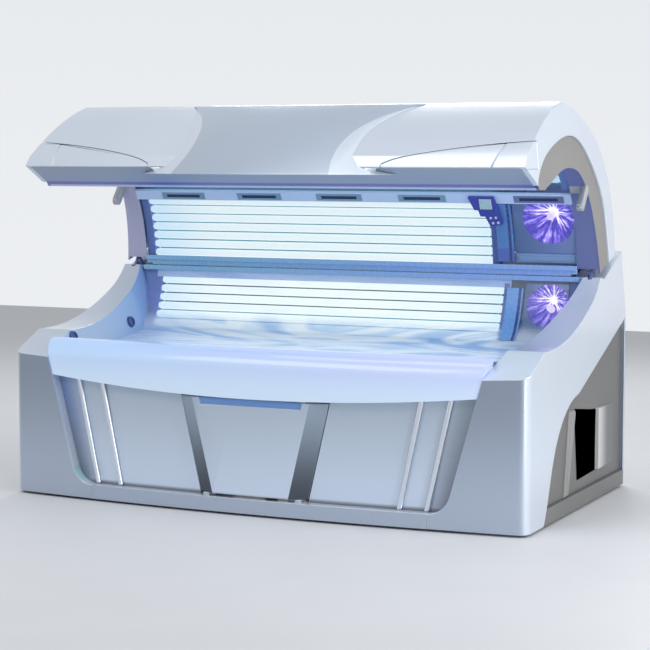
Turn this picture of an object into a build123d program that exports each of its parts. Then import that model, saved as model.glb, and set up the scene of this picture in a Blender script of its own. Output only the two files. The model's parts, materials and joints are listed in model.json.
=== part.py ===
from build123d import *
import os
from math import cos, radians, sin

os.makedirs("parts", exist_ok=True)

# Clamshell tanning bed, in millimetres.
# x runs along the bed, y from the front corners to the back, z up from the floor.
# The canopy is modelled open, as it stands at rest.

# Base envelope
HALF_LENGTH = 1200
BASE_DEPTH = 1325
FRONT_BOW = 65
CORNER_R = 45
FOOT_HEIGHT = 10
SHELL = 8
CLEAR = 0.3
RUNNING = 0.05
TUCK = 1
THROUGH = 60

# Side outline of a wing, as (y, z)
WING_FRONT_TOP = 628
WING_SHOULDER = (190, 718)
WING_SWOOP = [(500, 748), (740, 832), (870, 905)]
WING_PEAK = (936, 972)
SEAM_FRONT = (985, 962)
SEAM_SLOPE = 0.4392
WING_TIP_Y = BASE_DEPTH - 85
WING_TIP = (WING_TIP_Y, SEAM_FRONT[1] + SEAM_SLOPE * (WING_TIP_Y - SEAM_FRONT[0]))
WING_HIP = (BASE_DEPTH - 9, 790)
WING_RETURN = 70
WING_INNER_FOOT = 560

# Opening between the wings, as (x, z)
PLINTH_TOP = 72
OPENING_FOOT = HALF_LENGTH - 338
OPENING_FOOT_R = 100
OPENING_DECK = (HALF_LENGTH - 182, 640)
OPENING_TOP = (HALF_LENGTH - 82, 985)
OPENING_BACK = 955
REAR_BAY = HALF_LENGTH - 140

# Dark side panel: its front edge as (y, z), its recess, air vent, scoop and rib
SIDE_EDGE = [(180, -20), (237, 73), (330, 285), (455, 425), (640, 497)]
SIDE_EDGE_BACK = 768
SIDE_RECESS = 18
SIDE_PLATE = 6
SKIRT_TOP = 77
SKIRT_THICK = 26
VENT = [(677, 127), (758, 408), (936, 401), (935, 134)]
SCOOP_BACK = BASE_DEPTH - 130
SCOOP_PROUD = 16
SIDE_RIB = [(490, SKIRT_TOP), (535, SKIRT_TOP), (628, 436), (553, 436)]
SIDE_RIB_PROUD = 14
SIDE_RIB_BEVEL = 11
GRILLE_DEPTH = 10
SLAT = 7
SLAT_PITCH = 22

# Front: plinth, outer panels, fins and service door
PLINTH_SEAM = HALF_LENGTH - 412
PANEL_SETBACK = 50
PANEL_THICK = 6
PANEL_TOP = 600
DOOR_SETBACK = 12
DOOR_HALF_TOP = 346
DOOR_HALF_FOOT = 252
DOOR_SLOPE = 75
DOOR_SLOPE_REACH = 1.25
DOOR_FOOT = 84
DOOR_TOP = 487
DOOR_GAP = 3
DOOR_HINGE_Z = 77
DOOR_LUG_R = 6.4
DOOR_KNUCKLE_R = 4.6
DOOR_HINGE_BACK = 24
DOOR_PIN_R = 4
DOOR_PIN_X = 200
DOOR_KNUCKLE = 30
GRIP_HALF = 235
GRIP_HEIGHT = 27
GRIP_DEPTH = 12
FIN_WIDTH = 24
FIN_PROUD = 16
FIN_TOPS = (HALF_LENGTH - 443, HALF_LENGTH - 320)
FIN_FEET = (HALF_LENGTH - 545, HALF_LENGTH - 428)
FIN_TOP_Z = 560

# Acrylics
BENCH_LINE = [(70, 697), (220, 655), (430, 640), (680, 655), (830, 692), (886, 765), (946, 946)]
BENCH_SHEET = 8
VALANCE_SETBACK = 5
VALANCE_TOP = 698
VALANCE_FOOT_MID = 491
VALANCE_FOOT_END = 545
VALANCE_R = 80
VALANCE_SHEET = 6
VALANCE_BACK = 67.7

# Lamps
LAMP_D = 36
LAMP_PITCH = 41
LAMP_STANDOFF = 8
CAP_LENGTH = 18
CAP_STEP = 2
HOLDER_THICK = 24
REFLECTOR_GAP = 8
REFLECTOR_SHEET = 3
BENCH_LAMP_HALF = HALF_LENGTH - 250
WALL_LAMP_LEFT = 200 - HALF_LENGTH
WALL_LAMP_RIGHT = HALF_LENGTH - 450
WALL_FOOT_Z = 690

# Places along the bench curve and the tunnel arch, as shares of their length
BENCH_WALL = (0.6, 1.0)
BENCH_LAMPS_FROM = 0.04
BENCH_LAMPS_SHORT = 0.05
BENCH_REFLECTOR = (0.02, 0.99)
BENCH_HOLDER_SHORT = 0.04
WALL_LAMPS = (0.02, 0.985)
WALL_HOLDER_FROM = 0.01
WALL_TRIM_TO = 0.97
ARCH_FALL = (0.4, 1.0)
ARCH_RIM = (0.02, 0.985)
ARCH_SHEET = (0.03, 0.97)
ARCH_REFLECTOR = (0.09, 0.985)
ROOF_LAMPS_FROM = 0.12
ROOF_LAMPS_SHORT = 0.03
FACE_LAMPS_FROM = 0.005
ROOF_HOLDER_SHORT = 0.006
STRIP_GAP = 0.004
PILLAR_TO = 0.96
HANGER_SHARE = 0.38

# Base rear wall: pillar, rail and shoulder tanner
PILLAR_WIDTH = 76
PILLAR_PROUD = 6
PILLAR_LEFT = HALF_LENGTH - 430
RAIL_HALF = HALF_LENGTH - 100
RAIL_FOOT = 948
RAIL_TOP = 970
RAIL_DEPTH = 8
TANNER_LEFT = HALF_LENGTH - 350
TANNER_RIGHT = HALF_LENGTH - 148
SHOULDER_LIFT = 24
SHOULDER_DISH_R = 100
FACE_DISH_R = 118
DISH_DEPTH = 62
DISH_FLOOR = 0.45
DISH_WALL = 3
BULB_R = 16
BULB_LENGTH = 40
BULB_ROUND = 9.6

# Canopy, open: outer outline and tunnel arch as (y, z)
CANOPY_NOSE = (45, 1452)
CANOPY_CHIN = (82, 1497)
CANOPY_BROW = (152, 1546)
CANOPY_SLOPE = (325, 1646)
CANOPY_RIDGE = (510, 1716)
CANOPY_CROWN = [(640, 1702), (828, 1645), (987, 1560), (1085, 1460), (1145, 1335), (1168, 1200)]
CANOPY_HEEL = (1164, 1062)
CANOPY_TOE = (952, 990)
LIP_FRONT = (224, 1360)
LIP_BACK = (300, 1360)
ARCH = [(300, 1366), (400, 1398), (510, 1434), (620, 1446), (757, 1418), (850, 1335), (905, 1225),
        (940, 1090), (952, 992)]
ARCH_PLATE_LINE = [(190, 1398), (262, 1472), (414, 1541), (560, 1575), (738, 1562), (848, 1504),
                   (938, 1428), (1024, 1320), (1064, 1168), (1074, 1030)]
END_LEAN = 0.0775
END_RING = 24
ARCH_RECESS = 9
ARCH_PLATE = 6
FLANGE_INNER = HALF_LENGTH - 115
FLANGE_SHEET = 5
RIM_STEP = 1
LIP_SHEET = 8
SLOPE_WALL = (5, 6.4)
NOSE_WALL = 10.4
INSERT_FOOT = 1452
INSERT_BACK = 200
INSERT_SEAM = [(HALF_LENGTH - 655, 1462), (HALF_LENGTH - 612, 1480), (HALF_LENGTH - 538, 1498),
               (HALF_LENGTH - 394, 1521), (HALF_LENGTH - 200, 1543), (HALF_LENGTH, 1556)]
INSERT_GAP = 2
INSERT_GROOVE = [(HALF_LENGTH - 184, 1440), (HALF_LENGTH - 180, 1440), (HALF_LENGTH - 151, 1560),
                 (HALF_LENGTH - 155, 1560)]
INSERT_GROOVE_DEPTH = 2
VISOR_NOSE = (5 - FRONT_BOW, 1420)
VISOR_RISE = (190, 1595)
VISOR_HALF = 366
VISOR_FLANK = 452
APRON_END = [(545, 1456), (520, 1440), (495, 1426), (470, 1420)]
HINGE_COVER = (953, 957, 974, 994)
TONGUE = [(838, 1350), (788, 1282)]
TONGUE_WIDTH = 40
TONGUE_THICK = 24

# Canopy rear wall: acrylic, vent strip, control panel, face tanner
SHEET = 4
SHEET_SEAT = 6
STRIP_FOOT_Z = 1290
STRIP_TOP_Z = 1332
STRIP_PROUD = 8
STRIP_SLOTS = (375 - HALF_LENGTH, -423, -15, 392, HALF_LENGTH - 262)
STRIP_SLOT_LENGTH = 205
STRIP_SLOT_HEIGHT = 18
STRIP_SLOT_DEPTH = 100
CANOPY_LAMP_LEFT = 155 - HALF_LENGTH
CANOPY_LAMP_RIGHT = HALF_LENGTH - 510
CANOPY_PILLAR_LEFT = HALF_LENGTH - 478
CANOPY_RAIL_LIFT = 4
SILL_DEPTH = 7.5
SILL_LIFT = 2
SILL_SHORT = 5
SILL_END_LIFT = 8
FACE_Z = 1218
DISH_SHIFT = 22
CONTROL_X = HALF_LENGTH - 518
CONTROL_Z = 1262
CONTROL_THICK = 14
CONTROL_OUTLINE = [(-67, 69), (-42, 6), (-25, 6), (-17, -24), (4, -24), (23, -72), (81, -62), (54, 69)]
CONTROL_R = 3
DISPLAY = (58, 50)
DISPLAY_SPOT = (16, 38)
DISPLAY_PROUD = 4
BUTTON_R = 6
BUTTON_LENGTH = 10
BUTTON_PROUD = 2.5
BUTTON_EDGE = 1
BUTTON_SPOTS = [(30, -30), (54, -28), (38, -54), (62, -52)]

# Hinge, arms and gas springs
HINGE_Y = 975
HINGE_Z = 985
HINGE_PIN_R = 8
LUG_X = HALF_LENGTH - 70
LUG_THICK = 10
LUG_GAP = 3
ARM_X = LUG_X + LUG_THICK + LUG_GAP
ARM_THICK = 10
ARM_WIDTH = 30
ARM_SLOT_SIDE = 4
ARM_SLOT_FRONT = 25
ARM_SLOT_BACK = 35
LUG_SLOT_BACK = 60
ARM_SLOT_DROP = 90
ARM_SLOT_RISE = 60
PIN_SPARE = 2
ARM_KNEE = (1015, 1065)
RIB_X = HALF_LENGTH - 400
RIB_KNEE = (1010, 1470)
TUBE_LOW = (1098, 1250)
TUBE_HIGH = (720, 1600)
CANOPY_TUBE_R = 20
LUG_KNEE = (1020, 915)
BRACKET_DROP = 200
LEVER_R = 172.5
LEVER_ANGLE = -125
SPRING_GAP = 16
SPRING_X = ARM_X + ARM_THICK + SPRING_GAP
SPRING_FOOT = (BASE_DEPTH - 163, 897)
SPRING_R = 9
ROD_R = 5
ROD_EYE_SLACK = 3.5
EYE_R = 15
EYE_THICK = 12
CYLINDER_SHARE = 0.567
ROD_INSIDE = 40

# Frame, floor pan, ballasts, fans and small fittings
TUBE = 40
POST_X = HALF_LENGTH - 125
POST_SETBACK = 160
PAN_SHEET = 5
FRAME_TOP = 520
FRAME_INSET = 60
FOOT_R = 30
FOOT_INSET = 90
FOOT_INSET_FRONT = 80
FOOT_INSET_BACK = 120
BALLAST = (230, 60, 45)
BALLASTS_PER_BAY = 4
FAN_Y = 800
FAN_Z = 270
FAN_X = HALF_LENGTH - 95
FAN_SIZE = 230
FAN_DEPTH = 50
FAN_R = 104
FAN_HUB_R = 34
FAN_SHAFT_R = 5
FAN_BLADES = 7
FAN_TIP_GAP = 3
FAN_END_GAP = 6
SPOKE = 10
HUB_STEP = 4
BLADE_CHORD = 40
BLADE_THICK = 3
BLADE_PITCH = 35
NOZZLE_SPOTS = [(212, 685), (720, 712)]
NOZZLE_R = 25
NOZZLE_PROUD = 12
NOZZLE_BORE_R = 17
INLET_R = 22
INLET_LENGTH = 20
INLET_Z = 120
INLET_SETBACK = 2
BACK_SHEET = 4
BACK_TOP = (BASE_DEPTH - 120, WING_TIP[1] - 18)
BACK_SLOTS = 9
BACK_SLOT = (400, 14)
BACK_SLOT_FOOT = 160
BACK_SLOT_PITCH = 32
BACK_SLOT_X = HALF_LENGTH / 2

MID_Y = (BASE_DEPTH - FRONT_BOW) / 2
BACK_FACE = BASE_DEPTH - 2 * SHELL
BIG = 3000
UP = (Align.CENTER, Align.CENTER, Align.MIN)


def save(node, *solids):
    """Write one sub-part, with the origin under the middle of the bed."""
    shape = solids[0] if len(solids) == 1 else Compound(children=list(solids))
    export_step(Pos(0, -MID_Y, 0) * shape, f"parts/{node}.step")


def solids_of(shape):
    """The separate solids of a shape, largest first."""
    return sorted(shape.solids(), key=lambda solid: -solid.volume)


def mirrored(shape):
    return mirror(shape, about=Plane.YZ)


def yz(points):
    return [(0, y, z) for y, z in points]


def xz(points):
    return [(x, 0, z) for x, z in points]


def along_x(face, x0, x1):
    """A face in the y-z plane pushed along x."""
    return Pos(x0, 0, 0) * extrude(face, x1 - x0, dir=(1, 0, 0))


def along_y(face, y0, y1):
    """A face in the x-z plane pushed along y."""
    return Pos(0, y0, 0) * extrude(face, y1 - y0, dir=(0, 1, 0))


def block(x0, x1, y0, y1, z0, z1):
    middle = Pos((x0 + x1) / 2, (y0 + y1) / 2, (z0 + z1) / 2)
    return middle * Box(abs(x1 - x0), abs(y1 - y0), abs(z1 - z0))


def rod_x(x0, x1, y, z, radius):
    """A round bar lying along x."""
    return Pos((x0 + x1) / 2, y, z) * Rot(0, 90, 0) * Cylinder(radius, abs(x1 - x0))


def polygon_yz(points):
    return make_face(Polyline(*yz(points), close=True))


def polygon_xz(points):
    return make_face(Polyline(*xz(points), close=True))


def bow_y(x, setback=0):
    """How far back the bowed front lies at a place along the bed."""
    return setback - FRONT_BOW * (1 - (x / HALF_LENGTH) ** 2)


def plan_prism(inset, z0, z1):
    """The base's plan: bowed front, straight sides and back."""
    half = HALF_LENGTH - inset
    front = inset
    back = BASE_DEPTH - inset
    bow = ThreePointArc((-half, front), (0, front - FRONT_BOW), (half, front))
    rest = Polyline((half, front), (half, back), (-half, back), (-half, front))
    prism = Pos(0, 0, z0) * extrude(make_face([bow, rest]), z1 - z0)
    corners = prism.edges().filter_by(Axis.Z).group_by(Axis.Y)[0]
    return fillet(corners, CORNER_R - inset)


def bow_slab(setback, thick, z0, z1):
    """A sheet that follows the bowed front at a given setback."""
    half = HALF_LENGTH
    behind = setback + thick
    front = ThreePointArc((-half, setback), (0, setback - FRONT_BOW), (half, setback))
    back = ThreePointArc((-half, behind), (0, behind - FRONT_BOW), (half, behind))
    ends = [Line((-half, setback), (-half, behind)), Line((half, setback), (half, behind))]
    return Pos(0, 0, z0) * extrude(make_face([front, back, *ends]), z1 - z0)


def curve_at(line, share, offset):
    """A point beside a curve in the y-z plane: offset to the left of its direction."""
    point = line.position_at(share)
    tangent = line.tangent_at(share)
    return (point.Y - tangent.Z * offset, point.Z + tangent.Y * offset)


def beside(line, offset, start=0.0, end=1.0, steps=24):
    """A spline that runs beside a curve at a steady distance."""
    shares = [start + (end - start) * step / steps for step in range(steps + 1)]
    return Spline(*yz([curve_at(line, share, offset) for share in shares]))


def band(line, near, far, start=0.0, end=1.0):
    """The strip between two distances beside a curve."""
    first = beside(line, near, start, end)
    second = beside(line, far, start, end)
    ends = [Line(first @ 0, second @ 0), Line(first @ 1, second @ 1)]
    return make_face([first, second, *ends])


def share_at_z(line, z, start, end):
    """Where along a rising or falling stretch of a curve a height is reached."""
    low, high = start, end
    rising = line.position_at(end).Z > line.position_at(start).Z
    for _ in range(40):
        middle = (low + high) / 2
        if (line.position_at(middle).Z < z) == rising:
            low = middle
        else:
            high = middle
    return (low + high) / 2


def link(points, x0, x1, width):
    """A flat bar with round ends through points in the y-z plane."""
    bar = None
    for (ay, az), (by, bz) in zip(points, points[1:]):
        run = Vector(0, by - ay, bz - az)
        side = Vector(0, -run.Z, run.Y).normalized() * (width / 2)
        piece = polygon_yz([(ay + side.Y, az + side.Z), (by + side.Y, bz + side.Z),
                            (by - side.Y, bz - side.Z), (ay - side.Y, az - side.Z)])
        solid = along_x(piece, x0, x1)
        for y, z in ((ay, az), (by, bz)):
            solid += rod_x(x0, x1, y, z, width / 2)
        bar = solid if bar is None else bar + solid
    return bar


# Wings, the big side shells that also make the front corners
def inset_points(points, inset):
    """The corners of a clockwise outline, moved inwards."""
    moved = []
    neighbours = zip(points[-1:] + points[:-1], points, points[1:] + points[:1])
    for before, here, after in neighbours:
        first = Vector(here[1] - before[1], before[0] - here[0]).normalized()
        second = Vector(after[1] - here[1], here[0] - after[0]).normalized()
        middle = (first + second).normalized()
        reach = inset / middle.dot(first)
        moved.append((here[0] + middle.X * reach, here[1] + middle.Y * reach))
    return moved


def wing_outline(inset, foot):
    """The side outline: straight sides and top, with a swooping edge from shoulder to peak."""
    reach = FRONT_BOW + SHELL
    front_top = WING_FRONT_TOP - reach * (WING_SHOULDER[1] - WING_FRONT_TOP) / WING_SHOULDER[0]
    straight = [WING_PEAK, SEAM_FRONT, WING_TIP, WING_HIP, (BASE_DEPTH, foot), (-reach, foot),
                (-reach, front_top), WING_SHOULDER]
    corners = inset_points(straight + WING_SWOOP, inset)
    count = len(straight)
    swoop = Spline(*yz(corners[count - 1:] + corners[:1]))
    return make_face([Polyline(*yz(corners[:count])), swoop])


def opening(grow):
    """The space between the wings: a deep front opening and the bay behind the rear wall."""
    top = CANOPY_RIDGE[1]
    outline = polygon_xz([(-BIG, PLINTH_TOP), (OPENING_FOOT, PLINTH_TOP), OPENING_DECK, OPENING_TOP,
                          (OPENING_TOP[0], top), (-BIG, top)])
    corner = outline.vertices().sort_by_distance((OPENING_FOOT, 0, PLINTH_TOP))[0]
    outline = fillet(corner, OPENING_FOOT_R)
    if grow:
        outline = offset(outline, grow)
    front = along_y(outline, -BIG, OPENING_BACK + grow)
    rear = block(-BIG, REAR_BAY + grow, OPENING_BACK, BIG, -BIG, top)
    toe = block(-BIG, PLINTH_SEAM + CLEAR + grow, -BIG, BIG, -BIG, PLINTH_TOP + TUCK)
    return front + rear + toe


def wing_block(inset, foot):
    body = along_x(wing_outline(inset, foot), 0, HALF_LENGTH)
    body &= plan_prism(inset, foot - SHELL, WING_TIP[1])
    return body - opening(inset)


def side_window(grow=0):
    """The outline of the dark side panel, open downwards and backwards."""
    edge = Spline(*yz([(y - grow, z + grow) for y, z in SIDE_EDGE]))
    last = SIDE_EDGE[-1]
    far = BACK_FACE
    first = SIDE_EDGE[0]
    rest = Polyline(*yz([(last[0] - grow, last[1] + grow), (far, SIDE_EDGE_BACK + grow), (far, first[1]),
                         (first[0] - grow, first[1] + grow)]))
    return make_face([edge, rest])


def make_wing():
    wing = wing_block(0, FOOT_HEIGHT) - wing_block(SHELL, FOOT_HEIGHT - 4 * SHELL)
    wing -= block(0, HALF_LENGTH - SHELL, WING_RETURN, BACK_FACE, -BIG, WING_INNER_FOOT)
    hollow = along_x(wing_outline(SHELL, FOOT_HEIGHT), 0, HALF_LENGTH - SHELL)
    wing -= hollow & block(0, HALF_LENGTH, OPENING_BACK, BASE_DEPTH, 0, BIG)
    wing -= along_x(side_window(), HALF_LENGTH - 2 * SHELL, BIG)
    low, high = HINGE_Z - ARM_SLOT_DROP, HINGE_Z + ARM_SLOT_RISE
    slot = block(ARM_X - ARM_SLOT_SIDE, ARM_X + ARM_THICK + ARM_SLOT_SIDE, OPENING_BACK - ARM_SLOT_FRONT,
                 HINGE_Y + ARM_SLOT_BACK, low, high)
    slot += block(LUG_X - ARM_SLOT_SIDE, ARM_X, HINGE_Y - ARM_SLOT_FRONT, HINGE_Y + LUG_SLOT_BACK, low, high)
    return solids_of(wing - slot)[0]


def inner_face_x(z):
    """Where the wing's inner face lies above the deck."""
    share = (z - OPENING_DECK[1]) / (OPENING_TOP[1] - OPENING_DECK[1])
    return OPENING_DECK[0] + share * (OPENING_TOP[0] - OPENING_DECK[0])


def nozzle_plane(y, z):
    """On the left wing's inner face, with z pointing into the tunnel."""
    rise = OPENING_TOP[1] - OPENING_DECK[1]
    run = OPENING_TOP[0] - OPENING_DECK[0]
    return Plane(origin=(-inner_face_x(z), y, z), x_dir=(0, 1, 0), z_dir=(rise, 0, run))


wing_right = make_wing()
gap_right = opening(-CLEAR)
gap_left = mirrored(gap_right)
wing_left = mirrored(wing_right)
for spot, name in zip(NOZZLE_SPOTS, ("nozzle_front", "nozzle_rear")):
    seat = nozzle_plane(*spot)
    wing_left -= seat * Cylinder(NOZZLE_R + RUNNING, THROUGH)
    nozzle = seat * Pos(0, 0, (NOZZLE_PROUD - SHELL) / 2) * Cylinder(NOZZLE_R, NOZZLE_PROUD + SHELL)
    rim = nozzle.edges().filter_by(GeomType.CIRCLE).sort_by(Axis.X)[-1]
    nozzle = fillet(rim, NOZZLE_PROUD / 2)
    nozzle -= seat * Pos(0, 0, NOZZLE_PROUD) * Cylinder(NOZZLE_BORE_R, NOZZLE_PROUD)
    nozzle += seat * Box(2 * NOZZLE_BORE_R, SLAT, SHELL)
    save(name, nozzle)
save("wing_right", wing_right)
save("wing_left", solids_of(wing_left)[0])


# Side panels with their vents, scoops and skirts
def make_side_panel():
    outer = HALF_LENGTH - SIDE_RECESS
    keep = block(0, BIG, 0, BACK_FACE - 4 * CLEAR, SKIRT_TOP, WING_TIP[1])
    plate = along_x(side_window(SHELL), outer - SIDE_PLATE, outer) & keep
    plate -= along_x(polygon_yz(VENT), REAR_BAY, BIG)
    front, back = VENT[2][0], SCOOP_BACK
    foot, top = VENT[3][1], VENT[2][1]
    cowl = Polyline((outer, front), (outer + SCOOP_PROUD, front), (outer, back), close=True)
    plate += Pos(0, 0, foot) * extrude(make_face(cowl), top - foot)
    rib = along_x(polygon_yz(SIDE_RIB), outer - TUCK, outer + SIDE_RIB_PROUD)
    crest = rib.faces().sort_by(Axis.X)[-1]
    return plate + chamfer(crest.edges(), SIDE_RIB_BEVEL)


def make_grille():
    """Louvres close behind the vent."""
    face = HALF_LENGTH - SIDE_RECESS - SIDE_PLATE
    low_y, high_y = VENT[0][0] - SLAT, VENT[2][0] + SLAT
    low_z, high_z = VENT[0][1] - SLAT, VENT[1][1] + SLAT
    frame = block(face - GRILLE_DEPTH, face, low_y, high_y, low_z, high_z)
    rim = 2 * SLAT
    frame -= block(face - BIG, BIG, low_y + rim, high_y - rim, low_z + rim, high_z - rim)
    count = int((high_z - low_z - 2 * rim) / SLAT_PITCH)
    for step in range(count):
        z = low_z + rim + (step + 0.5) * SLAT_PITCH
        frame += block(face - GRILLE_DEPTH, face, low_y + SLAT, high_y - SLAT, z - SLAT / 2, z + SLAT / 2)
    return frame


def make_skirt():
    band_block = block(HALF_LENGTH - SKIRT_THICK, HALF_LENGTH, 0, BACK_FACE - CLEAR, FOOT_HEIGHT,
                       SKIRT_TOP - CLEAR)
    return band_block & along_x(side_window(-CLEAR), REAR_BAY, BIG)


side_panel = make_side_panel()
grille = make_grille()
skirt = solids_of(make_skirt())[0]
save("side_panel_right", side_panel)
save("side_panel_left", mirrored(side_panel))
save("vent_grilles", grille, mirrored(grille))
save("side_skirts", skirt, mirrored(skirt))


# Front: plinth, outer panels, fins
plinth = plan_prism(0, FOOT_HEIGHT, PLINTH_TOP)
plinth &= block(-PLINTH_SEAM, PLINTH_SEAM, -BIG, WING_RETURN, 0, BIG)
inner = PLINTH_SEAM - SHELL
plinth -= plan_prism(SHELL, 0, PLINTH_TOP - SHELL) & block(-inner, inner, -BIG, WING_RETURN - SHELL, 0, BIG)
door_hinge_y = bow_y(0, DOOR_SETBACK + DOOR_HINGE_BACK)
for side in (-1, 1):
    near = side * (DOOR_PIN_X + CLEAR)
    far = near + side * DOOR_KNUCKLE
    plinth += rod_x(near, far, door_hinge_y, DOOR_HINGE_Z, DOOR_LUG_R)
    plinth += block(near, far, door_hinge_y - DOOR_LUG_R, door_hinge_y + DOOR_LUG_R, PLINTH_TOP - TUCK,
                    DOOR_HINGE_Z)
    plinth -= rod_x(near, far, door_hinge_y, DOOR_HINGE_Z, DOOR_PIN_R + RUNNING)
save("plinth_front", solids_of(plinth)[0])


def door_outline(grow):
    """The service door's front outline, narrower at its foot."""
    foot, foot_z = DOOR_HALF_FOOT + grow, DOOR_FOOT - grow
    top, top_z = DOOR_HALF_TOP + grow, DOOR_TOP + grow
    return polygon_xz([(-foot, foot_z), (foot, foot_z), (top, top_z), (-top, top_z)])


panel_sheet = bow_slab(PANEL_SETBACK, PANEL_THICK, PLINTH_TOP, PANEL_TOP)
front_panel = panel_sheet & block(DOOR_HALF_FOOT + DOOR_GAP, BIG, -BIG, BIG, 0, BIG)
front_panel &= gap_right
front_panel -= along_y(door_outline(DOOR_GAP), -BIG, BIG)
save("front_panel_right", solids_of(front_panel)[0])
save("front_panel_left", mirrored(solids_of(front_panel)[0]))

fins = []
for top, foot in zip(FIN_TOPS, FIN_FEET):
    half = FIN_WIDTH / 2
    bar = polygon_xz([(foot - half, PLINTH_TOP + CLEAR), (foot + half, PLINTH_TOP + CLEAR),
                      (top + half, FIN_TOP_Z), (top - half, FIN_TOP_Z)])
    fin = along_y(bar, -BIG, BIG) & bow_slab(PANEL_SETBACK - FIN_PROUD, FIN_PROUD, PLINTH_TOP, FIN_TOP_Z)
    fins += [fin, mirrored(fin)]
save("front_fins", *fins)

# Service door, tilting out about pins at its foot
door_front = bow_slab(DOOR_SETBACK, PANEL_SETBACK - DOOR_SETBACK, DOOR_FOOT, DOOR_TOP)
door = door_front & along_y(door_outline(0), -BIG, BIG)
grip_foot, grip_top = DOOR_TOP - GRIP_HEIGHT, DOOR_TOP + SHELL
grip_flare = GRIP_HALF + SLAT
grip = polygon_xz([(-GRIP_HALF, grip_foot), (GRIP_HALF, grip_foot), (grip_flare, grip_top),
                   (-grip_flare, grip_top)])
door -= along_y(grip, -BIG, bow_y(0, DOOR_SETBACK + GRIP_DEPTH))
for side in (-1, 1):
    run = DOOR_SLOPE * DOOR_SLOPE_REACH
    rise = (PANEL_SETBACK - DOOR_SETBACK) * DOOR_SLOPE_REACH
    edge_foot = side * (DOOR_HALF_FOOT - DOOR_SLOPE)
    edge_top = side * (DOOR_HALF_TOP - DOOR_SLOPE)
    reach = DOOR_TOP - DOOR_FOOT
    lean = (edge_top - edge_foot) / reach
    front_y = bow_y(edge_foot, DOOR_SETBACK)
    far_x = edge_foot + side * run
    slope = make_face(Polyline((edge_foot, front_y, DOOR_FOOT), (far_x, front_y + rise, DOOR_FOOT),
                               (far_x, front_y - rise, DOOR_FOOT), close=True))
    door -= extrude(slope, amount=reach * (1 + lean ** 2) ** 0.5, dir=(lean, 0, 1))
    pin_end = side * DOOR_PIN_X
    knuckle_end = pin_end - side * DOOR_KNUCKLE
    door += rod_x(knuckle_end, pin_end, door_hinge_y, DOOR_HINGE_Z, DOOR_KNUCKLE_R)
    door += block(knuckle_end, pin_end, door_hinge_y - DOOR_KNUCKLE_R, door_hinge_y + DOOR_KNUCKLE_R,
                  DOOR_HINGE_Z, DOOR_FOOT + TUCK)
    door += rod_x(pin_end, pin_end + side * DOOR_KNUCKLE, door_hinge_y, DOOR_HINGE_Z, DOOR_PIN_R)
hollow = bow_slab(DOOR_SETBACK + 2 * GRIP_DEPTH, BIG, DOOR_FOOT + SHELL, DOOR_TOP - GRIP_HEIGHT - SHELL)
door -= hollow & along_y(door_outline(-DOOR_SLOPE), -BIG, BIG)
save("service_door", solids_of(door)[0])

# Acrylic bench and the bowed valance over the front
bench_line = Spline(*yz(BENCH_LINE))
bench = along_x(band(bench_line, -BENCH_SHEET, 0), -BIG / 2, BIG / 2) & gap_right & gap_left
save("bench_acrylic", solids_of(bench)[0])


def valance_block(inset, foot):
    half = inner_face_x(VALANCE_TOP)
    setback = VALANCE_SETBACK + inset
    front = [Vector(x, bow_y(x, setback)) for x in (-half, 0, half)]
    back = VALANCE_BACK
    face = make_face([ThreePointArc(*front), Polyline(front[2], (half, back), (-half, back), front[0])])
    body = Pos(0, 0, foot) * extrude(face, VALANCE_TOP - inset - foot)
    edge = body.faces().sort_by(Axis.Z)[-1].edges().sort_by(Axis.Y)[0]
    return fillet(edge, VALANCE_R - inset)


valance_gap = opening(-CLEAR - VALANCE_SHEET)
valance_hollow = valance_block(VALANCE_SHEET, VALANCE_FOOT_MID - SHELL) & valance_gap & mirrored(valance_gap)
valance = valance_block(0, VALANCE_FOOT_MID) - valance_hollow
foot_curve = ThreePointArc(*xz([(-OPENING_DECK[0], VALANCE_FOOT_END), (0, VALANCE_FOOT_MID),
                                (OPENING_DECK[0], VALANCE_FOOT_END)]))
foot_rest = Polyline(*xz([(OPENING_DECK[0], VALANCE_FOOT_END), (OPENING_DECK[0], 0), (-OPENING_DECK[0], 0),
                          (-OPENING_DECK[0], VALANCE_FOOT_END)]))
valance -= along_y(make_face([foot_curve, foot_rest]), -BIG, BIG)
valance = valance & gap_right & gap_left
save("valance", solids_of(valance)[0])


# Lamps, lamp holders and reflectors
def lamp(y, z, x0, x1):
    tube = rod_x(x0 + CAP_LENGTH, x1 - CAP_LENGTH, y, z, LAMP_D / 2)
    cap_r = LAMP_D / 2 - CAP_STEP
    return tube + rod_x(x0, x0 + CAP_LENGTH, y, z, cap_r) + rod_x(x1 - CAP_LENGTH, x1, y, z, cap_r)


def lamp_shares(line, start, end):
    """Evenly pitched places along a stretch of a curve."""
    length = line.length * (end - start)
    count = int(length / LAMP_PITCH)
    margin = (length - (count - 1) * LAMP_PITCH) / 2
    return [start + (margin + step * LAMP_PITCH) / line.length for step in range(count)]


lamp_offset = LAMP_STANDOFF + LAMP_D / 2
bench_depth = -(BENCH_SHEET + lamp_offset)
wall_start = share_at_z(bench_line, WALL_FOOT_Z, *BENCH_WALL)
bench_shares = lamp_shares(bench_line, BENCH_LAMPS_FROM, wall_start - BENCH_LAMPS_SHORT)
wall_shares = lamp_shares(bench_line, wall_start + WALL_LAMPS[0], WALL_LAMPS[1])
bench_places = [curve_at(bench_line, share, bench_depth) for share in bench_shares]
wall_places = [curve_at(bench_line, share, bench_depth) for share in wall_shares]
save("bench_lamps", *[lamp(y, z, -BENCH_LAMP_HALF, BENCH_LAMP_HALF) for y, z in bench_places])
save("rear_lamps", *[lamp(y, z, WALL_LAMP_LEFT, WALL_LAMP_RIGHT) for y, z in wall_places])
behind = bench_depth - LAMP_D / 2 - REFLECTOR_GAP
bench_from, bench_to = BENCH_REFLECTOR
holder_near, holder_far = -BENCH_SHEET - LAMP_STANDOFF, behind + 2 * CLEAR
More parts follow.
